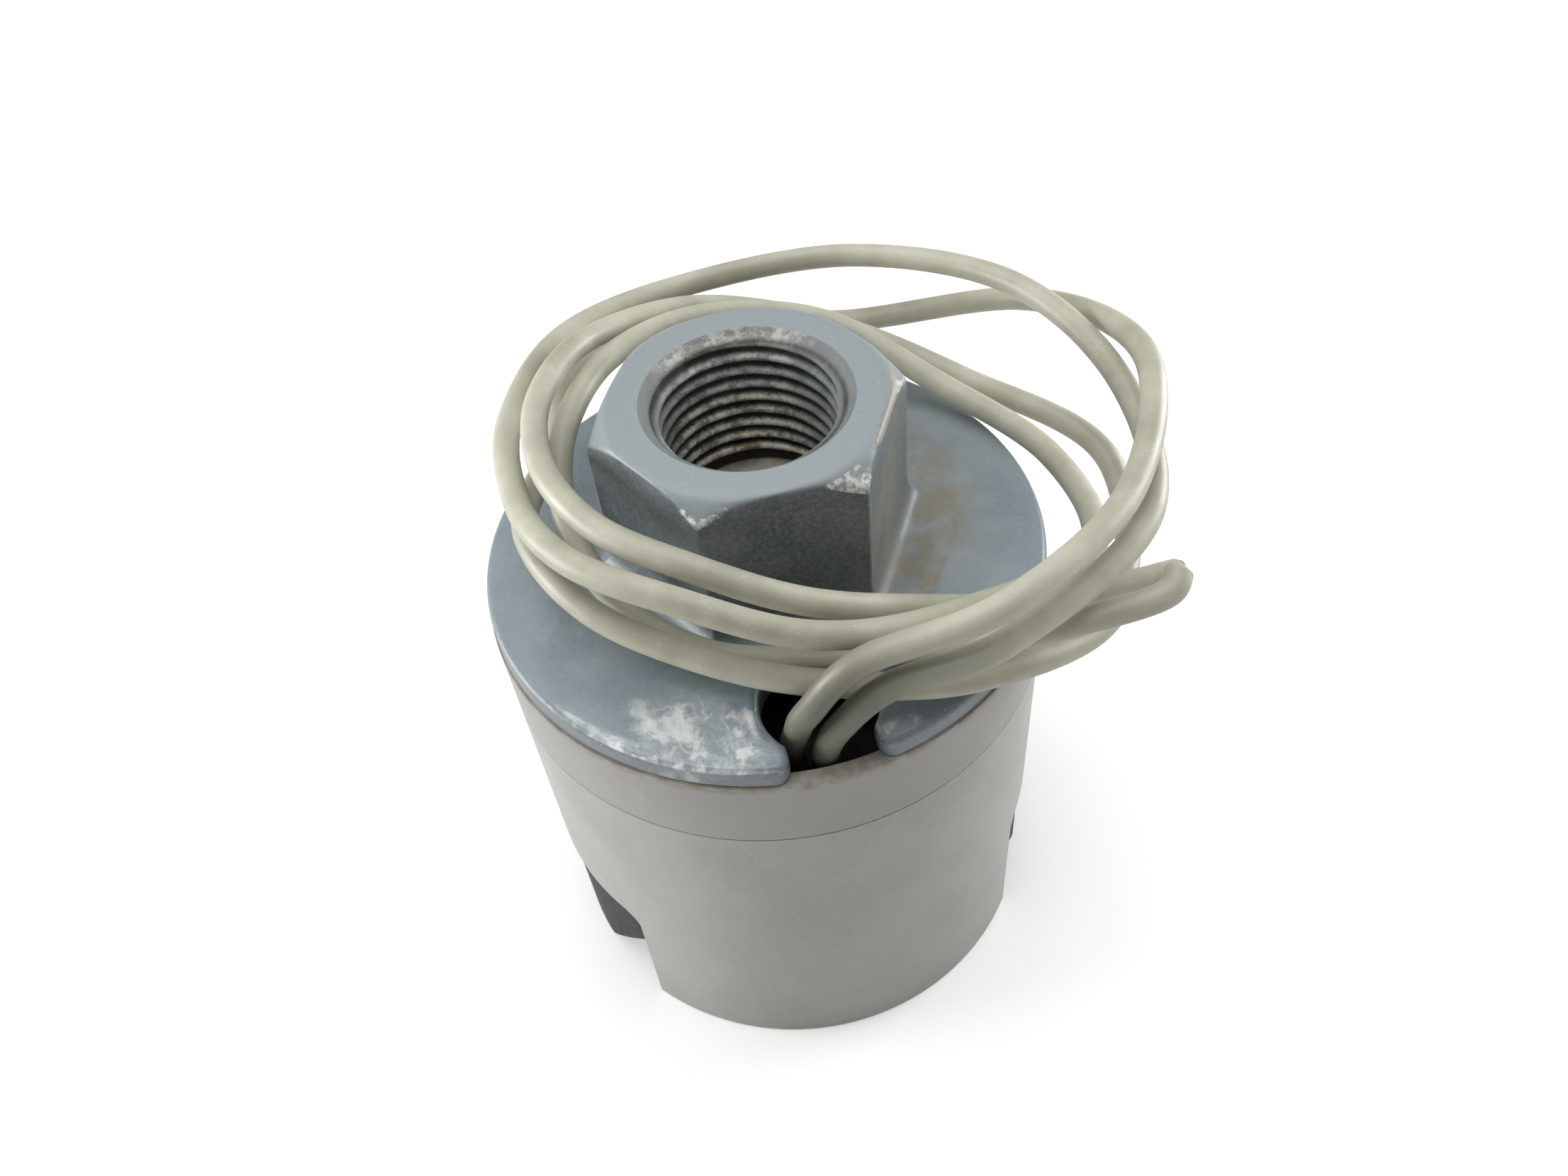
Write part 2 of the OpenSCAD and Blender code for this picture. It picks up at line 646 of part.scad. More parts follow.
module lead_grommet() color("#1c1c1e") difference() {
    union() {
        slab(plate_z, casing_top) pair_outline(grommet_r);
        slab(casing_top, grommet_top) pair_outline(grommet_r + grommet_rim);
    }
    for (side = [-1, 1]) translate([lead_x + side * lead_pitch / 2, lead_y, 0])
        rod(lead_d / 2 + lead_fit, plate_z - 1, grommet_top + 1);
}

module lead_potting() color("#3a3024") lead_passage(0);

lead_steps = 2;
lead_sides = 6;
module lead_a() color("#8a887a") tube(spline(route_a, lead_steps), lead_d / 2, lead_sides);
module lead_b() color("#8a887a") tube(spline(route_b, lead_steps), lead_d / 2, lead_sides);

discharge_head();
skirt();
pump_casing();
base_cover();
base_gasket();
neck_gasket();
ring_nut();
base_screws();
valve_seat();
check_poppet();
poppet_guide();
diffuser();
impeller();
impeller_nut();
shaft();
rotor_core();
thrust_washers();
motor_housing();
motor_cover();
stator_core();
stator_winding();
lower_bush();
upper_bush();
shaft_seal();
lead_grommet();
lead_potting();
lead_a();
lead_b();
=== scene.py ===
import math

import bmesh
import bpy
import numpy as np
from mathutils import Matrix, Vector


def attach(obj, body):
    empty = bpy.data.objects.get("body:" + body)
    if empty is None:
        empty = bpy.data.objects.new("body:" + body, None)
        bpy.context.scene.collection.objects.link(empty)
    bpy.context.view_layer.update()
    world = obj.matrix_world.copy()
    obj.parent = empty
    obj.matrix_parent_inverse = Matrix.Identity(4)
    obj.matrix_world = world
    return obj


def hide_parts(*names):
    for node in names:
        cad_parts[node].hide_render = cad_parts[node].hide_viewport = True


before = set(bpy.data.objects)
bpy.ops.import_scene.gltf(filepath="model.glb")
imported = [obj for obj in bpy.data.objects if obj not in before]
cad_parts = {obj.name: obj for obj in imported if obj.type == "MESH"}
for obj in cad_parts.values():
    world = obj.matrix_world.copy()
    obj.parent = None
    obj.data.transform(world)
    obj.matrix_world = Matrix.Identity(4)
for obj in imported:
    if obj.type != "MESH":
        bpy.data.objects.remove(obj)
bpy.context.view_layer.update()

# ---- Leads ----
# Two single insulated leads, each a stranded copper core in a soft grey jacket. They rise from the grommet,
# pass the notch of the lid, lie in two loose turns round the hexagon and end bare at the front right.

lead_diameter = 2.9
lead_sides = 24
steps_per_span = 24
exit_y = -24.5
straight_heights = [47, 50, 52]
first_station, station_step = -60, 30
lead_routes = {
    "lead_a": {
        "exit_x": -3.3,
        "rise": [[-3.5, -25.5, 57], [-3, -27, 62.5], [-2, -29, 68], [3.5, -29.5, 74.5]],
        "turns": [[35, 79], [39.5, 79], [44, 78.5], [46, 70], [39, 64], [35.5, 68], [31, 71], [24.5, 71.5],
                  [25.5, 72.5], [24.5, 72], [23.5, 70], [25.5, 67.5], [32.5, 65.5], [40, 60.5], [41.5, 63.5],
                  [34.5, 64.5], [31.5, 69], [30.5, 73.5], [28, 77], [24, 80], [22, 81], [21, 81], [20.5, 80],
                  [21, 75], [23.5, 69]],
        "end": [[26, -21, 65.5], [42, -19.5, 63.5]],
    },
    "lead_b": {
        "exit_x": 0.3,
        "rise": [[0, -27, 56], [-0.5, -28.5, 60], [1, -29.5, 65], [6, -30.5, 71]],
        "turns": [[35.5, 74], [41.5, 75.5], [41.5, 75.5], [42, 75], [41.5, 72.5], [37, 72.5], [33, 75],
                  [28.5, 76], [25.5, 77], [25, 79.5], [24.5, 79.5], [25.5, 75], [28, 71.5], [36.5, 69],
                  [34.5, 65.5], [30, 66.5], [29, 71.5], [26.5, 75], [24, 76.5], [22, 75.5], [21, 73],
                  [20.5, 69.5], [20.5, 67], [22, 67], [30, 68.5]],
        "end": [[26.5, -28, 70.5], [34.5, -28.5, 72], [37, -26.5, 73]],
    },
}


def lead_line(route):
    """Centre line of a lead in millimetres: a Catmull-Rom curve through a straight rise, the points above it,
    stations [radius, height] at equal steps round the axis, and the points of the end."""
    start = [[route["exit_x"], exit_y, z] for z in straight_heights]
    turns = np.array(route["turns"], float)
    angle = np.radians(first_station + station_step * np.arange(len(turns)))
    stations = np.stack([turns[:, 0] * np.cos(angle), turns[:, 0] * np.sin(angle), turns[:, 1]], 1)
    p = np.concatenate([np.array(start + route["rise"], float), stations, np.array(route["end"], float)])
    q = np.concatenate([[2 * p[0] - p[1]], p, [2 * p[-1] - p[-2]]])
    t = (np.arange(steps_per_span) / steps_per_span)[None, :, None]
    a, b, c, d = (q[i:len(q) - 3 + i, None, :] for i in range(4))
    spans = (2 * b + (c - a) * t + (2 * a - 5 * b + 4 * c - d) * t**2 + (3 * b - a - 3 * c + d) * t**3) / 2
    return np.concatenate([spans.reshape(-1, 3), p[-1:]])


def length_along(line):
    """Distance along a line of points, from its first point to each."""
    return np.concatenate([[0], np.cumsum(np.linalg.norm(np.diff(line, axis=0), axis=1))])


def cross_frames(line):
    """Unit heading of a line at each point, and two unit vectors across it: the first points away from the
    pump's axis as far as the heading lets it, the second is square to both."""
    heading = np.gradient(line, axis=0)
    heading /= np.linalg.norm(heading, axis=1)[:, None]
    outward = line * [1, 1, 0]
    outward -= (outward * heading).sum(1)[:, None] * heading
    outward /= np.linalg.norm(outward, axis=1)[:, None]
    return heading, outward, np.cross(heading, outward)


def tube_grid(line, radius, sides):
    """Points of a round tube: at each point of a line a circle of that point's radius, square to it."""
    heading, outward, across = cross_frames(line)
    turn = 2 * math.pi * np.arange(sides) / sides
    circle = np.cos(turn)[None, :, None] * outward[:, None] + np.sin(turn)[None, :, None] * across[:, None]
    return line[:, None] + radius[:, None, None] * circle


def grid_faces(rows, columns, around=False):
    """Quads of a grid of points, as indices. around joins the last column to the first."""
    across = columns if around else columns - 1
    r, c = np.meshgrid(np.arange(rows - 1), np.arange(across), indexing="ij")
    n = (c + 1) % columns
    here, above = r * columns, (r + 1) * columns
    return np.stack([here + c, here + n, above + n, above + c], -1).reshape(-1, 4)


def piece(name, points, faces, closing=()):
    """New smooth object from points in millimetres, quads, and any closing polygons as lists of indices."""
    mesh = bpy.data.meshes.new(name)
    polygons = faces.tolist() + [list(map(int, ring)) for ring in closing]
    mesh.from_pydata((points.reshape(-1, 3) / 1000).tolist(), [], polygons)
    mesh.validate()
    mesh.shade_smooth()
    made = bpy.data.objects.new(name, mesh)
    bpy.context.scene.collection.objects.link(made)
    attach(made, "pump_body")
    return made


class Finish:
    """A node material on one Principled shader, built node by node from Object coordinates in metres."""

    def __init__(self, name, **sockets):
        self.material = bpy.data.materials.new(name)
        self.material.use_nodes = True
        self.tree = self.material.node_tree
        self.shader = self.tree.nodes["Principled BSDF"]
        self.place = self.tree.nodes.new("ShaderNodeTexCoord").outputs["Object"]
        for socket, value in sockets.items():
            self.set(socket.replace("_", " "), value)

    def set(self, socket, value):
        """Sets or links one socket of the shader."""
        self.feed(self.shader.inputs[socket], value)

    def feed(self, socket, value):
        """Sets a socket to a number or colour, or links another node's output to it."""
        if isinstance(value, bpy.types.NodeSocket):
            self.tree.links.new(value, socket)
        elif isinstance(value, tuple) and len(value) == 3 and socket.type == "RGBA":
            socket.default_value = (*value, 1)
        else:
            socket.default_value = value

    def noise(self, size, detail=3.0, roughness=0.55, stretch=(1, 1, 1)):
        """Noise from 0 to 1 in lumps size metres across, longer along an axis where stretch is small."""
        mapping = self.tree.nodes.new("ShaderNodeMapping")
        mapping.inputs["Scale"].default_value = stretch
        self.feed(mapping.inputs["Vector"], self.place)
        node = self.tree.nodes.new("ShaderNodeTexNoise")
        self.feed(node.inputs["Vector"], mapping.outputs[0])
        node.inputs["Scale"].default_value = 1 / size
        node.inputs["Detail"].default_value = detail
        node.inputs["Roughness"].default_value = roughness
        return node.outputs["Fac"]

    def specks(self, size, share):
        """1 inside small round specks that stand about size metres apart, 0 between; share is their width."""
        node = self.tree.nodes.new("ShaderNodeTexVoronoi")
        self.feed(node.inputs["Vector"], self.place)
        node.inputs["Scale"].default_value = 1 / size
        size_of_each = self.step(self.channel(node.outputs["Color"], 0), 0.55, 1.0)
        return self.math("LESS_THAN", node.outputs["Distance"], self.times(size_of_each, share))

    def channel(self, colour, index):
        """One channel of a colour or vector."""
        node = self.tree.nodes.new("ShaderNodeSeparateXYZ")
        self.feed(node.inputs[0], colour)
        return node.outputs[index]

    def math(self, operation, a, b=0.0):
        """One arithmetic node."""
        node = self.tree.nodes.new("ShaderNodeMath")
        node.operation = operation
        self.feed(node.inputs[0], a)
        self.feed(node.inputs[1], b)
        return node.outputs[0]

    def plus(self, a, b):
        """Sum of two values."""
        return self.math("ADD", a, b)

    def times(self, a, b):
        """Product of two values."""
        return self.math("MULTIPLY", a, b)

    def off_middle(self, value):
        """A value from 0 to 1 as its distance above or below a half."""
        return self.plus(value, -0.5)

    def step(self, value, low, high, to_low=0.0, to_high=1.0):
        """Smooth step from to_low at low to to_high at high."""
        node = self.tree.nodes.new("ShaderNodeMapRange")
        node.interpolation_type = "SMOOTHSTEP"
        for socket, number in zip(("Value", "From Min", "From Max", "To Min", "To Max"),
                                  (value, low, high, to_low, to_high)):
            self.feed(node.inputs[socket], number)
        return node.outputs[0]

    def blend(self, share, a, b):
        """Colour a where share is 0 and colour b where it is 1."""
        node = self.tree.nodes.new("ShaderNodeMix")
        node.data_type = "RGBA"
        self.feed(node.inputs[0], share)
        self.feed(node.inputs[6], a)
        self.feed(node.inputs[7], b)
        return node.outputs[2]

    def painted(self, name):
        """The value that the mesh carries at each point under this name."""
        node = self.tree.nodes.new("ShaderNodeAttribute")
        node.attribute_name = name
        return node.outputs["Fac"]

    def facing_up(self):
        """How far the surface faces upwards, from -1 to 1."""
        node = self.tree.nodes.new("ShaderNodeTexCoord")
        return self.channel(node.outputs["Normal"], 2)

    def bump(self, height, depth, below=None):
        """Bump of a height from 0 to 1 that stands depth metres tall, on top of another bump."""
        node = self.tree.nodes.new("ShaderNodeBump")
        node.inputs["Strength"].default_value = 1.0
        node.inputs["Distance"].default_value = depth
        self.feed(node.inputs["Height"], height)
        if below is not None:
            self.feed(node.inputs["Normal"], below)
        return node.outputs[0]


def carry(made, name, values):
    """Gives a mesh one value per point, from 0 to 1, for its material to read."""
    layer = made.data.attributes.new(name, "FLOAT", "POINT")
    layer.data.foreach_set("value", np.clip(values, 0, 1).astype(np.float32).ravel())


def lead_jacket():
    """Satin grey-olive jacket with slow changes of tone, a bloom of fine dust, a few pale specks, and painted
    shade that darkens the leads where they come out of the notch."""
    skin = Finish("lead_jacket")
    tone = skin.blend(skin.step(skin.noise(0.012, 4), 0.3, 0.7), (0.375, 0.370, 0.284), (0.515, 0.510, 0.412))
    powder = skin.step(skin.noise(0.0004, 5, 0.7), 0.45, 0.75)
    bloom = skin.times(skin.step(skin.noise(0.003, 3), 0.4, 0.7), powder)
    dusty = skin.blend(skin.times(bloom, 0.6), tone, (0.63, 0.615, 0.53))
    # Painted shade: the jacket darkens towards the exit, where the leads lie down in the notch.
    dusty = skin.blend(skin.times(skin.painted("notch_shade"), 0.85), dusty, (0.115, 0.112, 0.082))
    skin.set("Base Color", skin.blend(skin.specks(0.0013, 0.055), dusty, (0.80, 0.78, 0.72)))
    skin.set("Roughness", skin.step(skin.noise(0.0015, 4), 0.3, 0.7, 0.36, 0.48))
    uneven = skin.bump(skin.noise(0.004, 2), 0.00008)
    skin.set("Normal", skin.bump(skin.noise(0.0003, 4, 0.6), 0.000012, uneven))
    return skin.material


def lead_strands():
    """Drawn copper, dulled where it was cut."""
    copper = Finish("lead_strands", Metallic=1.0)
    copper.set("Base Color", copper.blend(copper.noise(0.0004), (0.42, 0.19, 0.09), (0.70, 0.36, 0.20)))
    copper.set("Roughness", copper.step(copper.noise(0.0003), 0.3, 0.7, 0.25, 0.5))
    return copper.material


def strand_bundle(line):
    """Points, quads and end caps of seven round strands, one amid six, at the end of a line."""
    heading, outward, across = (frame_of[-1] for frame_of in cross_frames(line))
    twist = np.radians(60 * np.arange(6))
    ring_of_six = 2.05 * strand_radius * np.stack([np.cos(twist), np.sin(twist)], 1)
    turn = 2 * math.pi * np.arange(strand_sides)[:, None] / strand_sides
    circle = np.cos(turn) * outward + np.sin(turn) * across
    points, faces, closing = [], [], []
    for a, b in np.concatenate([[[0, 0]], ring_of_six]):
        first = len(points) * len(strand_reach) * strand_sides
        middle = line[-1] + a * outward + b * across + heading * np.array(strand_reach)[:, None]
        width = strand_radius * np.array(strand_width)[:, None, None]
        points.append((middle[:, None] + width * circle).reshape(-1, 3))
        faces.append(first + grid_faces(len(strand_reach), strand_sides, around=True)[:, ::-1])
        end = first + (len(strand_reach) - 1) * strand_sides
        closing += [first + np.arange(strand_sides)[::-1], end + np.arange(strand_sides)]
    return np.concatenate(points), np.concatenate(faces), closing


def dress(made, material, node):
    """Gives a piece its material, and hides the node of the pump that it is drawn for."""
    made.data.materials.append(material)
    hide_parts(node)


jacket = lead_jacket()
copper = lead_strands()
strand_radius = 0.28
strand_sides = 10
strand_reach = [-1.2, 0.12, 0.15]    # rings of a strand, from inside the jacket to just past its end
strand_width = [1, 1, 0.8]
unshaded_from, shade_length = 40, 15    # the painted shade fades out over its length, up to this distance from the exit
end_round, end_share = 0.5, 0.22     # the cut end is rounded over this length, by this share of its radius
waver_share = 0.006
for name, route in lead_routes.items():
    line = lead_line(route)
    along = length_along(line)
    rounding = np.clip(1 - (along[-1] - along) / end_round, 0, 1)
    waver = 1 + waver_share * np.sin(along / 3.1) * np.sin(along / 7.3)
    radius = lead_diameter / 2 * (1 - end_share * rounding**2) * waver
    end = (len(line) - 1) * lead_sides
    caps = [np.arange(lead_sides)[::-1], end + np.arange(lead_sides)]
    lead = piece(name + "_jacket", tube_grid(line, radius, lead_sides),
                 grid_faces(len(line), lead_sides, around=True)[:, ::-1], caps)
    # The painted shade at each point: full up to 25 mm from the exit, gone by 40 mm.
    carry(lead, "notch_shade", np.repeat((unshaded_from - along) / shade_length, lead_sides))
    dress(lead, jacket, name)
    core = piece(name + "_strands", *strand_bundle(line))
    core.data.materials.append(copper)

# ---- Cast lid ----
# A cast lid in blue-grey paint: a disc that closes the skirt, with a keyhole notch for the leads, and a
# hexagon whose corners are turned off by a cone and whose foot flares into the disc.

# Heights above the floor, in millimetres as all lengths here are
skirt_rim, disc_edge, disc_middle, hexagon_top = 60, 63, 64.2, 84
# Disc: radius, roundings of its top and lower edge, and the cast waves on its top
disc_radius, rim_round, rim_foot, cast_waves = 32, 0.9, 0.5, 0.09
slope_run = 11.3
# Keyhole: place and radius of its round end, half its mouth, and the horns' rounding
keyhole_centre, keyhole_radius, mouth_half, horn_round = -24.5, 6.2, 4.6, 1.6
# Hexagon: half its width, rounding of its corners and top edge, and the foot that flares from it
hexagon_flat, hexagon_corner, edge_softness = 14.9, 0.45, 0.22
foot_width, foot_height, foot_corner = 2.6, 3.8, 2.2
countersink_radius, countersink_depth = 11.3, 0.8
# A circle inside the keyhole's end, where the disc's rows end and those of the foot begin, and the width of
# the close rows outside it
inner_row, close_rows = 18.3, 1.2


def hexagon_radius(angle, flat, corner):
    """Distance from the axis to a hexagon with a flat towards -Y: flat / cos of the angle from the nearest
    flat's middle, and near a corner the far side of a circle that touches both flats."""
    phi = np.mod(angle, math.pi / 3) - math.pi / 6
    psi = math.pi / 6 - np.abs(phi)
    centre = (flat - corner) / math.cos(math.pi / 6)
    rounded = centre * np.cos(psi) + np.sqrt(np.maximum(corner**2 - (centre * np.sin(psi)) ** 2, 0))
    touch = math.atan2(corner / 2, centre + corner * math.cos(math.pi / 6))
    return np.where(psi < touch, rounded, flat / np.cos(phi))


def soft_min(a, b, width):
    """The smaller of two values, with a rounded change from one to the other: -w log(e^(-a/w) + e^(-b/w))."""
    return -width * np.logaddexp(-a / width, -b / width)


def keyhole_half():
    """Right half of the keyhole as a line of points [x, y]: a quarter and more of its circle from the inner
    end to the mouth, the mouth's straight side, and the horn's arc, which meets the disc's rim."""
    join = math.acos(mouth_half / keyhole_radius)
    t = np.linspace(math.pi / 2, -join, 60)
    circle = np.stack([keyhole_radius * np.cos(t), keyhole_centre + keyhole_radius * np.sin(t)], 1)
    horn_x = mouth_half + horn_round
    horn_y = -math.sqrt((disc_radius - horn_round) ** 2 - horn_x**2)
    t = np.linspace(math.pi, 1.5 * math.pi + math.atan2(horn_x, -horn_y), 26)
    horn = np.stack([horn_x + horn_round * np.cos(t), horn_y + horn_round * np.sin(t)], 1)
    y = np.linspace(circle[-1, 1], horn_y, 8)[1:-1]
    side = np.stack([np.full(len(y), mouth_half), y], 1)
    return np.concatenate([circle, side, horn])


def keyhole_angle(radius):
    """Angle from the notch's middle to the keyhole's edge on a circle of that radius about the axis."""
    edge = keyhole_half()
    return np.interp(radius, np.hypot(edge[:, 0], edge[:, 1]), np.arctan2(edge[:, 0], -edge[:, 1]))


def away_from_keyhole(x, y):
    """Distance of points from the keyhole's edge."""
    half = keyhole_half()
    fine = np.linspace(0, len(half) - 1, 700)
    half = np.stack([np.interp(fine, np.arange(len(half)), half[:, i]) for i in (0, 1)], 1)
    dx = np.abs(x)[..., None] - half[:, 0]
    dy = y[..., None] - half[:, 1]
    return np.sqrt((dx**2 + dy**2).min(-1))


def ridge_between(x, y, start, end, width, rise):
    """Height of a straight ridge between two points, or of a dent where its rise is below nought: the rise
    times e^-(distance / width)^2."""
    start, end = np.array(start), np.array(end)
    run = end - start
    share = np.clip(((x - start[0]) * run[0] + (y - start[1]) * run[1]) / (run @ run), 0, 1)
    away = (x - start[0] - share * run[0]) ** 2 + (y - start[1] - share * run[1]) ** 2
    return rise * np.exp(-away / width**2)


def unevenness(x, y, z, amount):
    """Slow cast unevenness: a sum of three sine waves that run in different directions."""
    return amount * (np.sin(0.31 * x + 0.17 * y + 1.3) + np.sin(0.23 * y - 0.29 * x + 0.21 * z)
                     + np.sin(0.53 * x - 0.41 * y + 0.37 * z + 2.1)) / 3


# Columns round the lid, as shares of a turn that starts at the notch, close together at the hexagon's corners
# and beside the keyhole.
near = np.array([0, 0.12, 0.25, 0.4, 0.6, 0.85, 1.2, 1.6, 2.1, 2.7, 3.5, 4.5, 6])
corners = (30 + 60 * np.arange(6))[:, None] + np.concatenate([-near[::-1], near[1:]])[None]
ends = np.array([0, 0.05, 0.1, 0.16, 0.24, 0.34, 0.46, 0.6, 0.8, 1.1, 1.5, 2, 2.7, 3.6, 4.8, 6.2])
degrees = np.concatenate([corners.ravel(), ends, 360 - ends, np.arange(7, 354, 1.5)])
column = np.unique(np.round(degrees, 3)) / 360

# Rim and disc: rows of constant radius, which stop at the keyhole's edge. The disc's rows start at the rim
# itself, where the top is already rounded down.
bend = np.radians(np.linspace(-90, 0, 6))
rim_radius = disc_radius - rim_foot + rim_foot * np.cos(bend)
rim_height = skirt_rim + rim_foot + rim_foot * np.sin(bend)
rounded = disc_radius - rim_round * (1 - np.cos(np.radians(np.linspace(0, 90, 14))))
inner_rows = inner_row + close_rows * np.linspace(1, 0, 12) ** 2
middle_rows = np.linspace(disc_radius - rim_round, inner_row + close_rows, 36)[1:-1]
row_radius = np.concatenate([rim_radius, rounded, middle_rows, inner_rows])
half_gap = keyhole_angle(row_radius)
half_gap[:len(rim_radius)] = keyhole_angle(np.array([disc_radius]))
half_gap[row_radius <= inner_row + 1e-6] = 0
angle = -math.pi / 2 + half_gap[:, None] + (2 * math.pi - 2 * half_gap[:, None]) * column[None]
radius = np.broadcast_to(row_radius[:, None], angle.shape)

# Foot: rows that run from a circle inside the notch's end to the hexagon
full_angle = -math.pi / 2 + 2 * math.pi * column
hexagon_wall = hexagon_radius(full_angle, hexagon_flat, hexagon_corner)
share = (1 - np.linspace(0, 1, 26)[1:] ** 1.6)[:, None]
foot_radius = hexagon_wall + (inner_row - hexagon_wall) * share
foot_radius[-1] = hexagon_wall
angle = np.concatenate([angle, np.broadcast_to(full_angle, foot_radius.shape)])
radius = np.concatenate([radius, foot_radius])


def lid_height(r, a):
    """Height of the lid's top: the disc's slope, and where the foot stands a rise of foot_height * t^2, with
    t from 0 at the foot's edge to 1 at the hexagon's wall, less the rounding R - sqrt(R^2 - (R - d)^2) within
    a distance d < R of the disc's outline, and two dents with a ridge between them beside the keyhole."""
    x, y = r * np.cos(a), r * np.sin(a)
    z = disc_edge + (disc_middle - disc_edge) * np.clip((disc_radius - rim_round - r) / slope_run, 0, 1)
    wall = hexagon_radius(a, hexagon_flat, hexagon_corner)
    edge = hexagon_radius(a, hexagon_flat + foot_width, foot_corner)
    t = 1 - np.sqrt(np.clip((r - wall) / (edge - wall), 0, 1))
    waves = unevenness(x, y, z, cast_waves) * np.clip((disc_radius - 1 - r) / 3, 0, 1) * (t < 0.99)
    z = z + foot_height * t**2 + waves
    to_notch = np.where((r > 15) & (y < 0), away_from_keyhole(x, y), disc_radius)
    d = np.clip(np.minimum(disc_radius - r, to_notch), 0, rim_round)
    z = z + ridge_between(x, y, (-8.2, -23.1), (-7.3, -27.9), 0.32, -0.26)
    z = z + ridge_between(x, y, (-6.0, -24.6), (-6.3, -27.6), 0.4, -0.16)
    z = z + ridge_between(x, y, (-6.9, -24.2), (-6.9, -27.6), 0.28, 0.2)
    return z - (rim_round - np.sqrt(rim_round**2 - (rim_round - d) ** 2))


height = np.concatenate([np.broadcast_to(rim_height[:, None], (len(rim_height), len(column))),
                         lid_height(radius[len(rim_height):], angle[len(rim_height):])])

# Hexagon: rows up the wall, then rows over its top edge, then the top face to the countersink
ray_start, ray_length, halvings = (countersink_radius + 0.3, hexagon_top - 5), 12.0, 30


def over_the_edge(wall, turn):
    """Radius and height where rays from a point below the top's countersink, turned from level to upright,
    leave the hexagon: where the soft minimum of the distances to the wall, to the cone that takes the corners
    off, and to the top face is nought, found by halving."""
    low = np.zeros(np.broadcast(wall, turn).shape)
    high = low + ray_length
    for _ in range(halvings):
        middle = (low + high) / 2
        r, z = ray_start[0] + middle * np.cos(turn), ray_start[1] + middle * np.sin(turn)
        cone = (hexagon_flat + hexagon_top - r - z) / math.sqrt(2)
        room = soft_min(soft_min(wall - r, cone, edge_softness), hexagon_top - z, edge_softness)
        low, high = np.where(room > 0, middle, low), np.where(room > 0, high, middle)
    return r, z


turn = np.concatenate([np.linspace(0, 30, 12)[:-1], np.linspace(30, 66, 52), np.linspace(66, 90, 10)[1:]])
edge_radius, edge_height = over_the_edge(hexagon_wall[None], np.radians(turn)[:, None])
wall_rows = np.linspace(disc_middle + foot_height + 0.5, ray_start[1] - 0.3, 10)
wall_height = np.broadcast_to(wall_rows[:, None], (len(wall_rows), len(column)))
wall_radius = np.broadcast_to(edge_radius[:1], wall_height.shape)
one_row = (1, len(column))
upper_radius = np.concatenate([wall_radius, edge_radius, np.full(one_row, countersink_radius)])
upper_height = np.concatenate([wall_height, edge_height, np.full(one_row, edge_height[-1, 0])])
angle = np.concatenate([angle, np.broadcast_to(full_angle, upper_radius.shape)])
radius = np.concatenate([radius, upper_radius])
height = np.concatenate([height, upper_height])
lid_points = np.stack([radius * np.cos(angle), radius * np.sin(angle), height], -1)
lid = piece("lid_body", lid_points, grid_faces(*angle.shape)[:, ::-1])


def window(value, middle, width):
    """1 near the middle, falling to 0 about a width away: e^-((value - middle) / width)^2."""
    return np.exp(-(((value - middle) / width) ** 2))


def angle_window(a, middle, width):
    """The same for angles in degrees, counted the short way round."""
    return np.exp(-((np.mod(np.degrees(a) - middle + 180, 360) - 180) / width) ** 2)


def spots(*rows):
    """Sum of soft spots on the lid. Each row is a strength, an angle, its width, a radius and its width."""
    return sum(strength * angle_window(angle, at_angle, angle_width) * window(radius, at_radius, radius_width)
               for strength, at_angle, angle_width, at_radius, radius_width in rows)


def along_edge(*rows):
    """Sum of soft stretches round the lid. Each row is a strength, an angle and its width."""
    return sum(strength * angle_window(angle, *where) for strength, *where in rows)


on_disc = (height < 64.6) & (radius > 17)
flat_distance = hexagon_radius(angle, hexagon_flat, hexagon_corner)
on_edge = window(np.minimum(flat_distance, hexagon_flat + 0.4) - radius, 0.15, 0.5)
on_edge = on_edge * (height > hexagon_top - 1.1)
on_cone = window(radius + height, hexagon_flat + hexagon_top - 0.2, 0.5)
on_cone = on_cone * (radius > hexagon_flat + 0.4) * (height > hexagon_top - 4)
on_arc = on_cone * window(flat_distance - radius, 0.1, 0.75)
# Rubbed glossy paint near the notch and along the rim's top edge at the front, which also carries a mottled
# white painted highlight.
carry(lid, "rubbed_and_highlight", on_disc * spots(
    (1.1, 243, 15, 27.6, 3.4), (0.85, 246, 12, 30.4, 1.1), (0.75, 226, 16, 31.3, 0.5),
    (0.9, 243, 22, 31.8, 0.12), (0.3, 205, 16, 24, 3), (0.6, 283, 7, 30.5, 1.2)))
carry(lid, "chips_and_glints", on_arc * (0.2 + along_edge((0.95, -64, 7), (0.5, 240, 9), (0.5, 2, 8)))
      + on_cone * along_edge((0.45, -63, 6), (0.7, -12, 8))
      + on_edge * along_edge((0.4, -60, 7), (0.2, 246, 7)))
carry(lid, "worn_edge", on_edge * (0.25 + along_edge((0.75, -25, 28)))
      + on_cone * along_edge((0.5, -4, 10)))
below_corner = (height > disc_middle - 0.2) * np.clip((80.5 - height) / 4, 0, 1) * (radius > 14)
carry(lid, "stained", on_disc * spots((1, -8, 26, 20.5, 4.5), (0.7, 30, 22, 23, 5))
      + below_corner * along_edge((0.95, -33, 24)))
# The lid's outer wall, which the paint lifts to a lighter tone as painted light from the bright room.
carry(lid, "rim", (radius - 31.3) / 0.5)


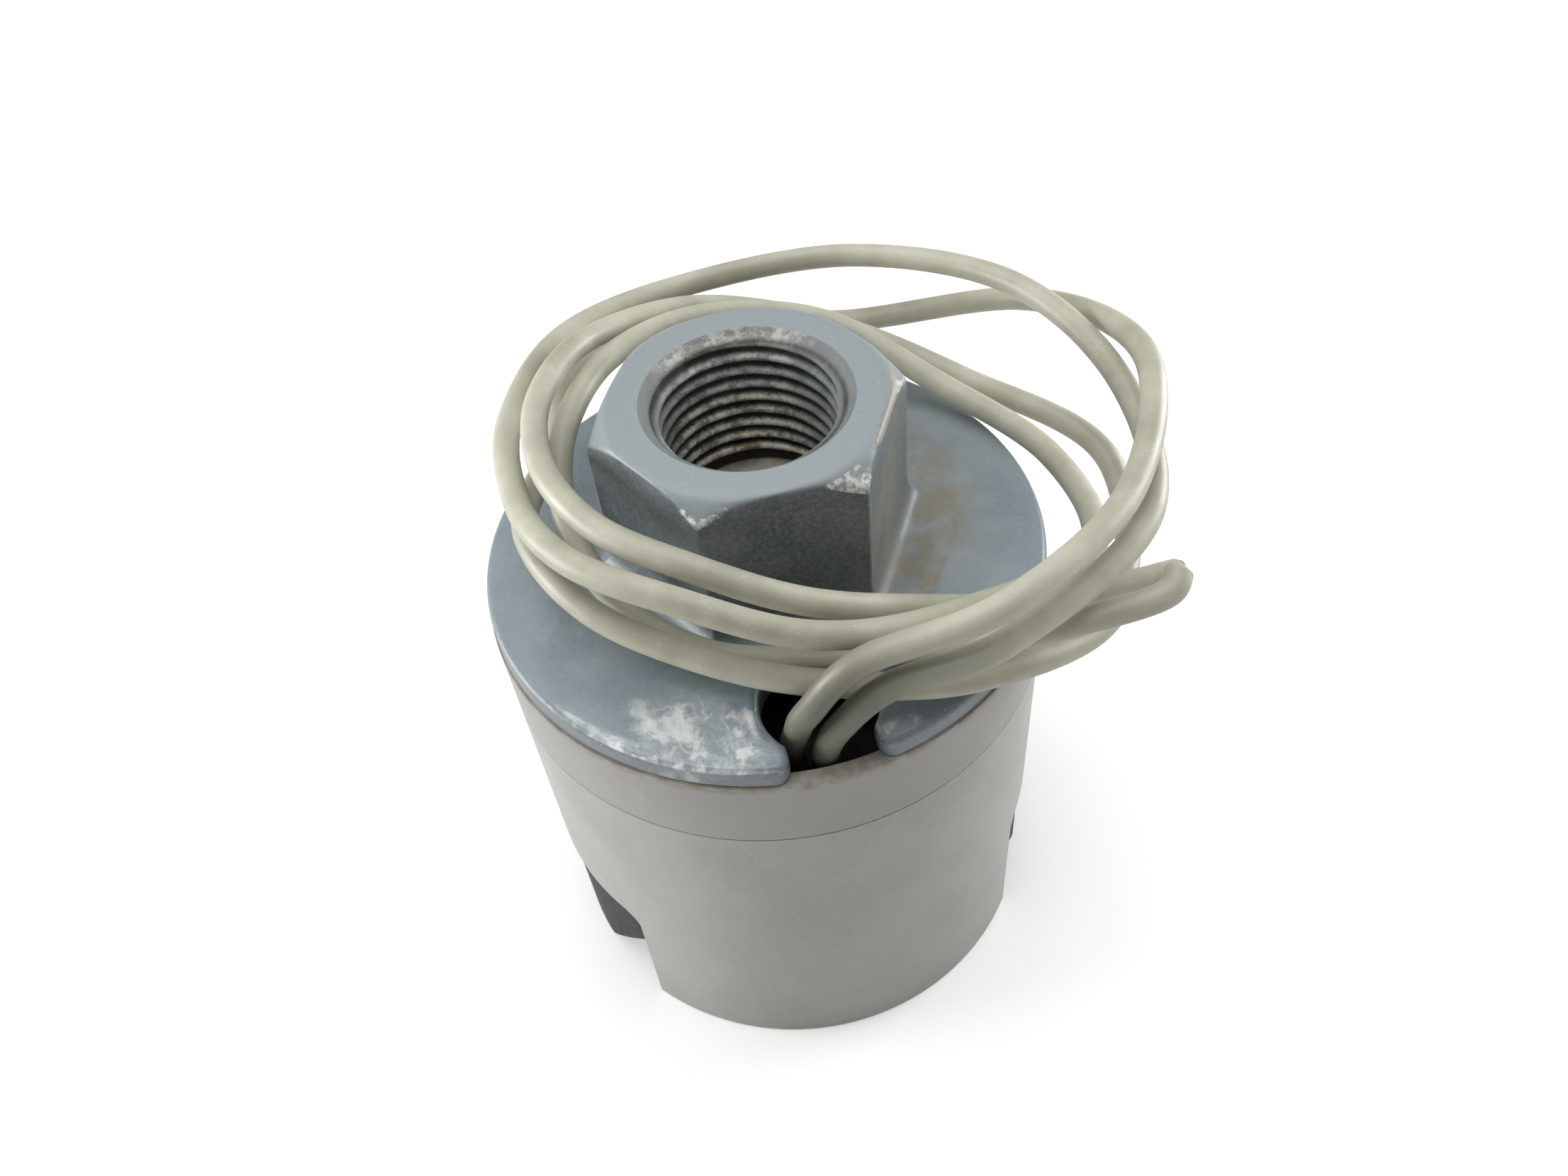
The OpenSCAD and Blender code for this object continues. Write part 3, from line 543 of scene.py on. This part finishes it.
def lid_paint():
    """Blue-grey enamel on a casting: pale where it faces up, partly from dust and partly as painted light
    from above, dark and glossy on the walls, with the rim's outer wall painted lighter as light from the
    room;
    rubbed glossy near the notch under a mottled white painted highlight; chipped at the corners, with painted
    white glints on the chips; worn to the metal along edges, with brown stains and pale and rusty specks."""
    paint = Finish("lid_paint")
    # Dust and painted light: surfaces that face up take the pale tone, the walls the dark one.
    up = paint.step(paint.facing_up(), 0.2, 0.9)
    lumps = paint.step(paint.noise(0.006, 5, 0.6), 0.33, 0.67)
    grain = paint.noise(0.0005, 4, 0.65)
    pits = paint.noise(0.0011, 6, 0.7)
    dark = paint.blend(lumps, (0.078, 0.095, 0.101), (0.115, 0.134, 0.140))
    pale = paint.blend(lumps, (0.212, 0.266, 0.306), (0.266, 0.320, 0.352))
    high = paint.step(paint.channel(paint.place, 2), 0.080, 0.0836)
    pale = paint.blend(high, pale, (0.272, 0.316, 0.332))
    colour = paint.blend(up, dark, pale)
    # Painted light: the rim's outer wall is given a lighter tone, as if lit by the bright room.
    colour = paint.blend(paint.painted("rim"), colour, (0.180, 0.212, 0.222))
    colour = paint.blend(paint.step(grain, 0.35, 0.7, 0.0, 0.28), colour, (0.36, 0.39, 0.39))
    cloud = paint.step(paint.noise(0.004, 5, 0.6), 0.25, 0.6)
    stained = paint.times(paint.painted("stained"), cloud)
    colour = paint.blend(stained, colour, paint.blend(pits, (0.175, 0.165, 0.128), (0.275, 0.264, 0.220)))
    veins = paint.math("ABSOLUTE", paint.off_middle(paint.noise(0.0045, 3, 0.5)))
    web = paint.step(veins, 0.05, 0.0, 0.0, 0.45)
    blotch = paint.step(paint.noise(0.0038, 7, 0.62), 0.44, 0.62)
    streaks = paint.step(paint.math("MAXIMUM", web, blotch), 0.0, 1.0, 0.2, 1.0)
    ragged = paint.plus(paint.painted("rubbed_and_highlight"), paint.times(paint.noise(0.003, 6, 0.7), 0.7))
    rubbed_and_highlight = paint.times(paint.step(ragged, 0.62, 1.0), streaks)
    # Painted highlight: a web of near-white stands in for the lamp's reflection on the rubbed glossy paint.
    colour = paint.blend(rubbed_and_highlight, colour, (0.74, 0.775, 0.765))
    edge = paint.step(paint.plus(paint.painted("worn_edge"), paint.times(pits, 0.9)), 0.95, 1.15)
    colour = paint.blend(edge, colour, paint.blend(grain, (0.20, 0.195, 0.16), (0.42, 0.405, 0.345)))
    chip = paint.plus(paint.painted("chips_and_glints"), paint.times(paint.noise(0.0019, 7, 0.72), 1.3))
    broken = paint.step(paint.noise(0.0009, 5, 0.7), 0.3, 0.55, 0.35, 1.0)
    flakes_and_glints = paint.times(paint.step(chip, 1.1, 1.24), broken)
    # Bare metal in the chips, with near-white painted glints on the corners' chamfers.
    painted_glint = paint.step(paint.noise(0.0007, 5, 0.7), 0.38, 0.62)
    colour = paint.blend(flakes_and_glints, colour, paint.blend(painted_glint, (0.25, 0.265, 0.25), (0.72, 0.75, 0.72)))
    colour = paint.blend(paint.specks(0.0015, 0.05), colour, (0.82, 0.82, 0.78))
    colour = paint.blend(paint.specks(0.0027, 0.032), colour, (0.30, 0.13, 0.075))
    paint.set("Base Color", colour)
    glossy = paint.step(paint.painted("rubbed_and_highlight"), 0.1, 0.6, 0.38, 0.13)
    worn = paint.math("MAXIMUM", paint.math("MAXIMUM", stained, edge), flakes_and_glints)
    paint.set("Roughness", paint.plus(glossy, paint.times(worn, 0.12)))
    cast = paint.bump(paint.noise(0.0035, 3), 0.0001)
    fine = paint.bump(grain, 0.000008, cast)
    peel = paint.bump(paint.times(paint.noise(0.0022, 4, 0.55), paint.painted("rubbed_and_highlight")), 0.00035, fine)
    paint.set("Normal", paint.bump(paint.times(paint.plus(edge, flakes_and_glints), -1.0), 0.00005, peel))
    return paint.material


enamel = lid_paint()
dress(lid, enamel, "discharge_head")

# Wall of the keyhole, from its rounded edge straight down, and round to the disc's underside as the rim is
top_rows = np.arange(len(rim_radius), len(row_radius))
rail = np.concatenate([lid_points[top_rows, -1], lid_points[top_rows, 0][::-1]])
run = np.gradient(rail[:, :2], axis=0)
inward = np.stack([-run[:, 1], run[:, 0], np.zeros(len(run))], 1) / np.linalg.norm(run, axis=1)[:, None]
share = np.linspace(0, 1, 6)[:-1, None, None]
low_rail = rail * [1, 1, 0] + [0, 0, skirt_rim + rim_foot]
bend = np.radians(np.linspace(0, 90, 6))[:, None, None]
rounding = low_rail + rim_foot * ((1 - np.cos(bend)) * inward - np.sin(bend) * [0, 0, 1])
wall = np.concatenate([rail[None] * (1 - share) + low_rail[None] * share, rounding])
keyhole_wall = piece("lid_keyhole_wall", wall, grid_faces(len(wall), len(rail)))
# The outer part of the keyhole wall takes the same lighter tone of painted light.
carry(keyhole_wall, "rim", (np.hypot(wall[..., 0], wall[..., 1]) - 28.5) / 2)
dress(keyhole_wall, enamel, "discharge_head")

# Underside: disc, locating ring, neck and threaded spigot, as rows of constant radius
under_profile = [(31.5, 60), (30.35, 60), (30.35, 57.7), (30.15, 57.5), (28.55, 57.5), (28.35, 57.7),
                 (28.35, 60), (26.5, 60), (25, 60), (23.5, 60), (22, 60), (21, 60), (20, 60), (19.3, 60),
                 (18.8, 60), (18.5, 60), (18.3, 60), (15.5, 60), (14.6, 59.8), (13.9, 59.2), (13.5, 58.2),
                 (13.5, 51), (13.3, 50.8), (10.5, 50.8), (10.5, 42.5), (10.0, 42.0), (6.3, 42.0), (6.0, 42.3),
                 (6.0, 47.5)]
under_radius, under_height = np.array(under_profile, float).T
half_gap = np.where(under_radius > inner_row + 1e-6, keyhole_angle(under_radius) + rim_foot / under_radius, 0)
coarse = column[::2] if len(column) % 2 else np.append(column[::2], 1.0)
angle = -math.pi / 2 + half_gap[:, None] + (2 * math.pi - 2 * half_gap[:, None]) * coarse[None]
under = np.stack([under_radius[:, None] * np.cos(angle), under_radius[:, None] * np.sin(angle),
                  np.broadcast_to(under_height[:, None], angle.shape)], -1)
lid_underside = piece("lid_underside", under, grid_faces(*angle.shape))
sharp = lid_underside.modifiers.new("edges", "EDGE_SPLIT")
sharp.split_angle = math.radians(35)
dress(lid_underside, enamel, "discharge_head")

# ---- Outlet thread ----
# The lid's outlet: a countersunk mouth, a right-hand pipe thread cut into the casting, a plain relief below
# it and a ledge round the water port. The cutter left bare metal, and paint ran into the first turns.

thread_pitch, thread_depth, thread_radius = 1.814, 1.05, 10.5
thread_taper = 1 / 32
plain_above, plain_below = 83.5, 67.4    # heights at which the ridges start and end
start_length, end_length = 1.2, 0.8      # lengths over which they rise from the plain wall and sink into it
first_level, level_step = 83.1, 0.085    # rows of the grid below the countersink


def thread_shape(phase):
    """Share of the depth that stands proud at a phase from 0 to 1: a broad rounded ridge between narrow
    grooves, (1 - |cos(pi * phase)|^2.6) to the power 0.8."""
    return (1 - np.abs(np.cos(math.pi * phase)) ** 2.6) ** 0.8


turns = np.linspace(0, 2 * math.pi, 361)
countersink_foot = hexagon_top - countersink_depth
levels = np.concatenate([np.linspace(hexagon_top, countersink_foot, 7),
                         np.arange(first_level, plain_below, -level_step)])
mouth = np.interp(levels, [countersink_foot, hexagon_top], [thread_radius, countersink_radius])
phase = np.mod((levels[:, None] - thread_pitch * turns[None] / (2 * math.pi)) / thread_pitch, 1)
taper = (hexagon_top - levels)[:, None] * thread_taper
rising = np.clip((plain_above - levels) / start_length, 0, 1)
fade = (rising * np.clip((levels - plain_below) / end_length, 0, 1))[:, None]
waver = 1 + 0.05 * np.sin(7 * turns[None] + levels[:, None]) * np.sin(3 * turns[None])
bore = mouth[:, None] - taper * fade - thread_depth * thread_shape(phase) * fade * waver
below = [(9.9, plain_below - 0.3), (9.9, 65.9), (9.6, 65.55), (9.2, 65.5), (7.9, 65.5), (7.6, 65.4),
         (7.5, 65.1), (7.5, 58), (7.5, 51), (7.5, 47.9), (7.3, 47.5), (6.0, 47.5)]
below_radius, below_height = np.array(below, float).T
radius = np.concatenate([bore, np.broadcast_to(below_radius[:, None], (len(below), len(turns)))])
height = np.concatenate([levels, below_height])[:, None] * np.ones((1, len(turns)))
outlet_points = np.stack([radius * np.cos(turns), radius * np.sin(turns), height], -1)[:, :-1]
outlet = piece("outlet_thread", outlet_points,
               grid_faces(len(height), len(turns) - 1, around=True)[:, ::-1])
crest = np.concatenate([thread_shape(phase) * fade, np.zeros((len(below), len(turns)))])[:, :-1]
carry(outlet, "crest", crest)


def thread_metal():
    """Cut cast metal: khaki-grey mottled ridges with green-black painted shade in the grooves between, blue
    paint on the second and third turns, a bright brassy last turn, a countersink rubbed bare at its far side
    and a khaki ledge."""
    metal = Finish("thread_metal")
    z = metal.channel(metal.place, 2)
    grain = metal.noise(0.0005, 6, 0.75)
    coarse = metal.step(metal.noise(0.0022, 6, 0.7), 0.35, 0.65)
    crest = metal.painted("crest")
    ragged = metal.plus(z, metal.times(metal.off_middle(metal.noise(0.004, 4)), 0.004))
    speckled = metal.plus(metal.times(grain, 0.7), metal.times(coarse, 0.3))
    khaki = metal.blend(metal.step(speckled, 0.3, 0.64), (0.20, 0.193, 0.158), (0.88, 0.86, 0.75))
    blue = metal.blend(metal.step(speckled, 0.3, 0.7), (0.21, 0.24, 0.258), (0.54, 0.58, 0.60))
    painted_turns = metal.times(metal.step(ragged, 0.0755, 0.0785), metal.step(ragged, 0.0826, 0.0808))
    ridge = metal.blend(metal.times(painted_turns, 0.75), khaki, blue)
    side = metal.step(metal.math("ABSOLUTE", metal.channel(metal.place, 0)), 0.0045, 0.0085, 0.0, 0.85)
    ridge = metal.blend(side, ridge, metal.blend(speckled, (0.165, 0.184, 0.190), (0.320, 0.345, 0.350)))
    backwards = metal.plus(metal.channel(metal.place, 1), metal.times(metal.noise(0.003, 4), 0.004))
    far_side = metal.step(backwards, 0.0075, 0.0115)
    near_mouth = metal.blend(far_side, (0.215, 0.228, 0.225), (0.46, 0.45, 0.40))
    near_mouth = metal.blend(metal.step(speckled, 0.3, 0.7), (0.20, 0.205, 0.19), near_mouth)
    ridge = metal.blend(metal.step(ragged, 0.0814, 0.0822), ridge, near_mouth)
    brassy = metal.blend(metal.step(speckled, 0.35, 0.6), (0.36, 0.30, 0.17), (0.90, 0.88, 0.78))
    last = metal.times(metal.step(ragged, 0.0704, 0.0692), metal.step(z, 0.0672, 0.0680))
    ridge = metal.blend(last, ridge, brassy)
    # Painted shade: the grooves between the ridges are near black.
    groove_shade = metal.blend(coarse, (0.036, 0.040, 0.034), (0.085, 0.090, 0.078))
    rising = metal.plus(crest, metal.times(metal.off_middle(grain), 0.4))
    colour = metal.blend(metal.step(rising, 0.3, 0.85), groove_shade, ridge)
    bare = metal.blend(metal.step(speckled, 0.35, 0.6), (0.27, 0.272, 0.250), (0.58, 0.58, 0.545))
    mouth = metal.blend(far_side, metal.blend(speckled, (0.150, 0.168, 0.168), (0.250, 0.268, 0.262)), bare)
    colour = metal.blend(metal.step(z, 0.0829, 0.0834), colour, mouth)
    colour = metal.blend(metal.step(z, 0.0674, 0.0668), colour, (0.026, 0.026, 0.021))
    ledge = metal.step(z, 0.06605, 0.0657)
    colour = metal.blend(ledge, colour, metal.blend(coarse, (0.48, 0.445, 0.34), (0.78, 0.74, 0.60)))
    metal.set("Base Color", colour)
    metal.set("Roughness", metal.step(grain, 0.3, 0.7, 0.34, 0.6))
    metal.set("Metallic", metal.times(last, 0.5))
    metal.set("Normal", metal.bump(grain, 0.00008, metal.bump(coarse, 0.00008)))
    return metal.material


dress(outlet, thread_metal(), "discharge_head")

# ---- Skirt and inner pieces ----
# The skirt is a length of thick plastic tube with two slots sawn into its foot. What hangs inside it is
# moulded or turned, so each piece has a finish of its own, and the four that show get broken edges too.


def skirt_plastic():
    """Warm grey plastic with a fine mottle, a few dark and reddish specks and faint upright scuffs, darker
    above 50 mm as painted shade, and browned by dirt along the rim."""
    shell = Finish("skirt_plastic")
    cloud = shell.noise(0.014, 4, 0.55)
    colour = shell.blend(shell.step(cloud, 0.3, 0.7), (0.375, 0.367, 0.345), (0.430, 0.421, 0.398))
    mottle = shell.noise(0.0009, 6, 0.7)
    colour = shell.blend(shell.step(mottle, 0.45, 0.75, 0, 0.6), colour, (0.500, 0.487, 0.460))
    z = shell.channel(shell.place, 2)
    # Painted shade: the skirt is darker above 50 mm, towards the lid.
    colour = shell.blend(shell.step(z, 0.0498, 0.0504, 0, 0.45), colour, (0.315, 0.305, 0.286))
    patchy = shell.step(shell.noise(0.003, 5, 0.7), 0.35, 0.6)
    grime = shell.times(shell.step(z, 0.0588, 0.0598), patchy)
    colour = shell.blend(grime, colour, (0.27, 0.238, 0.185))
    scuff = shell.noise(0.0016, 4, 0.6, stretch=(1, 1, 0.12))
    colour = shell.blend(shell.step(scuff, 0.62, 0.85, 0, 0.4), colour, (0.53, 0.52, 0.50))
    colour = shell.blend(shell.times(shell.specks(0.0022, 0.05), 0.8), colour, (0.13, 0.105, 0.085))
    colour = shell.blend(shell.times(shell.specks(0.0031, 0.03), 0.8), colour, (0.36, 0.16, 0.10))
    shell.set("Base Color", colour)
    shell.set("Roughness", shell.step(mottle, 0.3, 0.7, 0.46, 0.6))
    shell.set("Normal", shell.bump(mottle, 0.000025, shell.bump(shell.noise(0.005, 3), 0.00008)))
    return shell.material


def moulded(name, low, high, rough, depth=0.00002):
    """Moulded plastic or rubber: two near tones in soft clouds, and a fine even grain."""
    stuff = Finish(name)
    stuff.set("Base Color", stuff.blend(stuff.noise(0.005, 4), low, high))
    stuff.set("Roughness", stuff.step(stuff.noise(0.001, 3), 0.3, 0.7, rough - 0.06, rough + 0.08))
    stuff.set("Normal", stuff.bump(stuff.noise(0.0004, 3), depth))
    return stuff.material


def turned(name, low, high, rough):
    """Turned or drawn metal: fine rings about the axis and slightly duller patches."""
    stuff = Finish(name, Metallic=1.0)
    rings = stuff.noise(0.0006, 3, 0.6, stretch=(0.2, 0.2, 3))
    stuff.set("Base Color", stuff.blend(stuff.noise(0.003, 4), low, high))
    stuff.set("Roughness", stuff.step(rings, 0.3, 0.7, rough - 0.08, rough + 0.1))
    stuff.set("Normal", stuff.bump(rings, 0.00001))
    return stuff.material


def stacked_sheet():
    """Dull steel sheets stacked along the axis: thin dark lines half a millimetre apart."""
    stack = Finish("stacked_sheet", Metallic=0.8, Roughness=0.5)
    wave = stack.tree.nodes.new("ShaderNodeTexWave")
    wave.bands_direction = "Z"
    wave.inputs["Scale"].default_value = 314
    stack.feed(wave.inputs["Vector"], stack.place)
    line = stack.step(wave.outputs["Fac"], 0.0, 0.3)
    stack.set("Base Color", stack.blend(line, (0.06, 0.06, 0.065), (0.36, 0.37, 0.39)))
    stack.set("Normal", stack.bump(line, 0.00004))
    return stack.material


def varnished_wire():
    """Enamelled copper wire wound round the axis under a coat of varnish."""
    wire = Finish("varnished_wire", Roughness=0.3)
    wave = wire.tree.nodes.new("ShaderNodeTexWave")
    wave.wave_type = "RINGS"
    wave.rings_direction = "Z"
    wave.inputs["Scale"].default_value = 350
    wave.inputs["Distortion"].default_value = 1.5
    wire.feed(wave.inputs["Vector"], wire.place)
    wire.set("Base Color", wire.blend(wave.outputs["Fac"], (0.12, 0.045, 0.02), (0.45, 0.20, 0.08)))
    wire.set("Normal", wire.bump(wave.outputs["Fac"], 0.00008))
    return wire.material


black_plastic = moulded("black_plastic", (0.024, 0.025, 0.025), (0.036, 0.037, 0.037), 0.6)
black_rubber = moulded("black_rubber", (0.014, 0.014, 0.014), (0.028, 0.027, 0.026), 0.7, 0.00004)
motor_plastic = moulded("motor_plastic", (0.06, 0.065, 0.07), (0.085, 0.09, 0.095), 0.42)
pale_plastic = moulded("pale_plastic", (0.58, 0.56, 0.48), (0.68, 0.66, 0.58), 0.4)
amber_plastic = moulded("amber_plastic", (0.40, 0.28, 0.13), (0.52, 0.38, 0.19), 0.32)
potting_resin = moulded("potting_resin", (0.05, 0.035, 0.02), (0.08, 0.06, 0.04), 0.2)
brass = turned("brass", (0.50, 0.36, 0.15), (0.66, 0.50, 0.25), 0.32)
bright_steel = turned("bright_steel", (0.48, 0.49, 0.50), (0.62, 0.63, 0.64), 0.3)
finish_of = {
    "skirt": skirt_plastic(), "pump_casing": black_plastic, "base_cover": black_plastic,
    "base_gasket": black_rubber, "neck_gasket": black_rubber, "ring_nut": brass, "base_screws": bright_steel,
    "valve_seat": brass, "check_poppet": pale_plastic, "poppet_guide": black_plastic,
    "diffuser": black_plastic, "impeller": amber_plastic, "impeller_nut": bright_steel, "shaft": bright_steel,
    "rotor_core": stacked_sheet(), "thrust_washers": pale_plastic, "motor_housing": motor_plastic,
    "motor_cover": motor_plastic, "stator_core": stacked_sheet(), "stator_winding": varnished_wire(),
    "lower_bush": brass, "upper_bush": brass, "shaft_seal": black_rubber, "lead_grommet": black_rubber,
    "lead_potting": potting_resin,
}


def round_walls(shell):
    """Applies the broken edges of a tube and turns the corner normals of its walls straight away from the
    axis, so that long thin faces beside a cut-out don't shade as flats."""
    whole = bpy.data.meshes.new_from_object(shell.evaluated_get(bpy.context.evaluated_depsgraph_get()))
    shell.modifiers.clear()
    shell.data = whole
    points = np.array([v.co[:] for v in whole.vertices])
    normals = np.array([n.vector[:] for n in whole.corner_normals])
    for face in whole.polygons:
        corners = np.arange(face.loop_start, face.loop_start + face.loop_total)
        spread = points[list(face.vertices)] * [1, 1, 0]
        spread /= np.linalg.norm(spread, axis=1)[:, None]
        facing = float(spread.mean(0) @ np.array(face.normal))
        if abs(facing) > 0.99:
            normals[corners] = np.sign(facing) * spread
    whole.normals_split_custom_set(normals.tolist())


def shell_of(node, width, slot):
    """Piece drawn in place of a node's solid: the same form, its sharp edges broken to a width in metres."""
    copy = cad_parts[node].data.copy()
    copy.name = node + "_shell"
    shell = bpy.data.objects.new(node + "_shell", copy)
    bpy.context.scene.collection.objects.link(shell)
    work = bmesh.new()
    work.from_mesh(copy)
    bmesh.ops.remove_doubles(work, verts=work.verts, dist=1e-6)
    bmesh.ops.dissolve_limit(work, angle_limit=math.radians(0.5), verts=work.verts, edges=work.edges)
    work.to_mesh(copy)
    work.free()
    copy.shade_smooth()
    edges = shell.modifiers.new("broken_edges", "BEVEL")
    edges.width = width
    edges.segments = 2
    edges.limit_method = "ANGLE"
    edges.angle_limit = math.radians(35)
    edges.harden_normals = True
    if node == "skirt":
        round_walls(shell)
    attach(shell, "pump_body")
    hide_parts(node)
    return shell


broken_edge = {"skirt": (0.0003, "skirt_grey"), "base_cover": (0.0002, "black_plastic"),
               "pump_casing": (0.0003, "black_plastic"), "base_screws": (0.00012, "bright_steel")}
for node, material in finish_of.items():
    made = shell_of(node, *broken_edge[node]) if node in broken_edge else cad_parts[node]
    made.data.materials.clear()
    made.data.materials.append(material)

# ---- Floor, light and camera ----
# A pale table that fades to white with distance, a white room, one broad lamp overhead and a softer one at
# each side. The camera looks down at the outlet from just in front of the pump.

floor_mesh = bpy.data.meshes.new("floor")
floor_mesh.from_pydata([(-3, -3, 0), (3, -3, 0), (3, 3, 0), (-3, 3, 0)], [], [(0, 1, 2, 3)])
floor = bpy.data.objects.new("floor", floor_mesh)
bpy.context.scene.collection.objects.link(floor)
table = Finish("table_white", Roughness=0.8)
table.set("Base Color", table.blend(table.noise(0.4, 2), (0.76, 0.76, 0.76), (0.80, 0.80, 0.80)))
rays = table.tree.nodes.new("ShaderNodeLightPath")
table.set("Emission Color", (1, 1, 1))
distance = table.tree.nodes.new("ShaderNodeVectorMath")
distance.operation = "LENGTH"
table.feed(distance.inputs[0], table.place)
fade = table.step(distance.outputs["Value"], 0.2, 1.0, 0.35, 1.05)
table.set("Emission Strength", table.times(rays.outputs["Is Camera Ray"], fade))
floor.data.materials.append(table.material)

world = bpy.data.worlds.new("white_room")
world.use_nodes = True
bpy.context.scene.world = world
tree = world.node_tree
light_rays = tree.nodes.new("ShaderNodeLightPath")
background = tree.nodes["Background"]
background.inputs["Color"].default_value = (1, 1, 1, 1)
strength = tree.nodes.new("ShaderNodeMapRange")
strength.inputs["To Min"].default_value = 0.3
strength.inputs["To Max"].default_value = 1.05
tree.links.new(light_rays.outputs["Is Camera Ray"], strength.inputs["Value"])
tree.links.new(strength.outputs[0], background.inputs["Strength"])


def lamp(name, place, aim, size, power):
    """Square area lamp at a place, turned towards the point it aims at."""
    data = bpy.data.lights.new(name, "AREA")
    data.shape = "SQUARE"
    data.size = size
    data.energy = power
    made = bpy.data.objects.new(name, data)
    bpy.context.scene.collection.objects.link(made)
    made.location = place
    direction = np.array(aim, float) - np.array(place, float)
    made.rotation_euler = Vector(direction).to_track_quat("-Z", "Y").to_euler()


lamp("overhead", (-0.07, 0.13, 0.78), (0, 0, 0.05), 0.85, 4.7)
lamp("left_window", (-0.72, 0.18, 0.13), (0, 0, 0.05), 0.4, 5.6)
lamp("right_window", (0.72, 0.18, 0.15), (0, 0, 0.05), 0.4, 5.4)

camera_data = bpy.data.cameras.new("camera")
camera_data.sensor_width = 36
camera_data.lens = 29.96
camera_data.clip_start = 0.005
camera_data.clip_end = 20
camera = bpy.data.objects.new("camera", camera_data)
bpy.context.scene.collection.objects.link(camera)
place, ahead = (-0.01521, -0.10219, 0.17130), (0.10773, 0.65073, -0.75163)
right, up = (0.96735, -0.24304, -0.07177), (0.22938, 0.71936, 0.65567)
camera.matrix_world = Matrix([(right[i], up[i], -ahead[i], place[i]) for i in range(3)] + [(0, 0, 0, 1)])
bpy.context.scene.camera = camera
bpy.context.scene.view_settings.view_transform = "Standard"
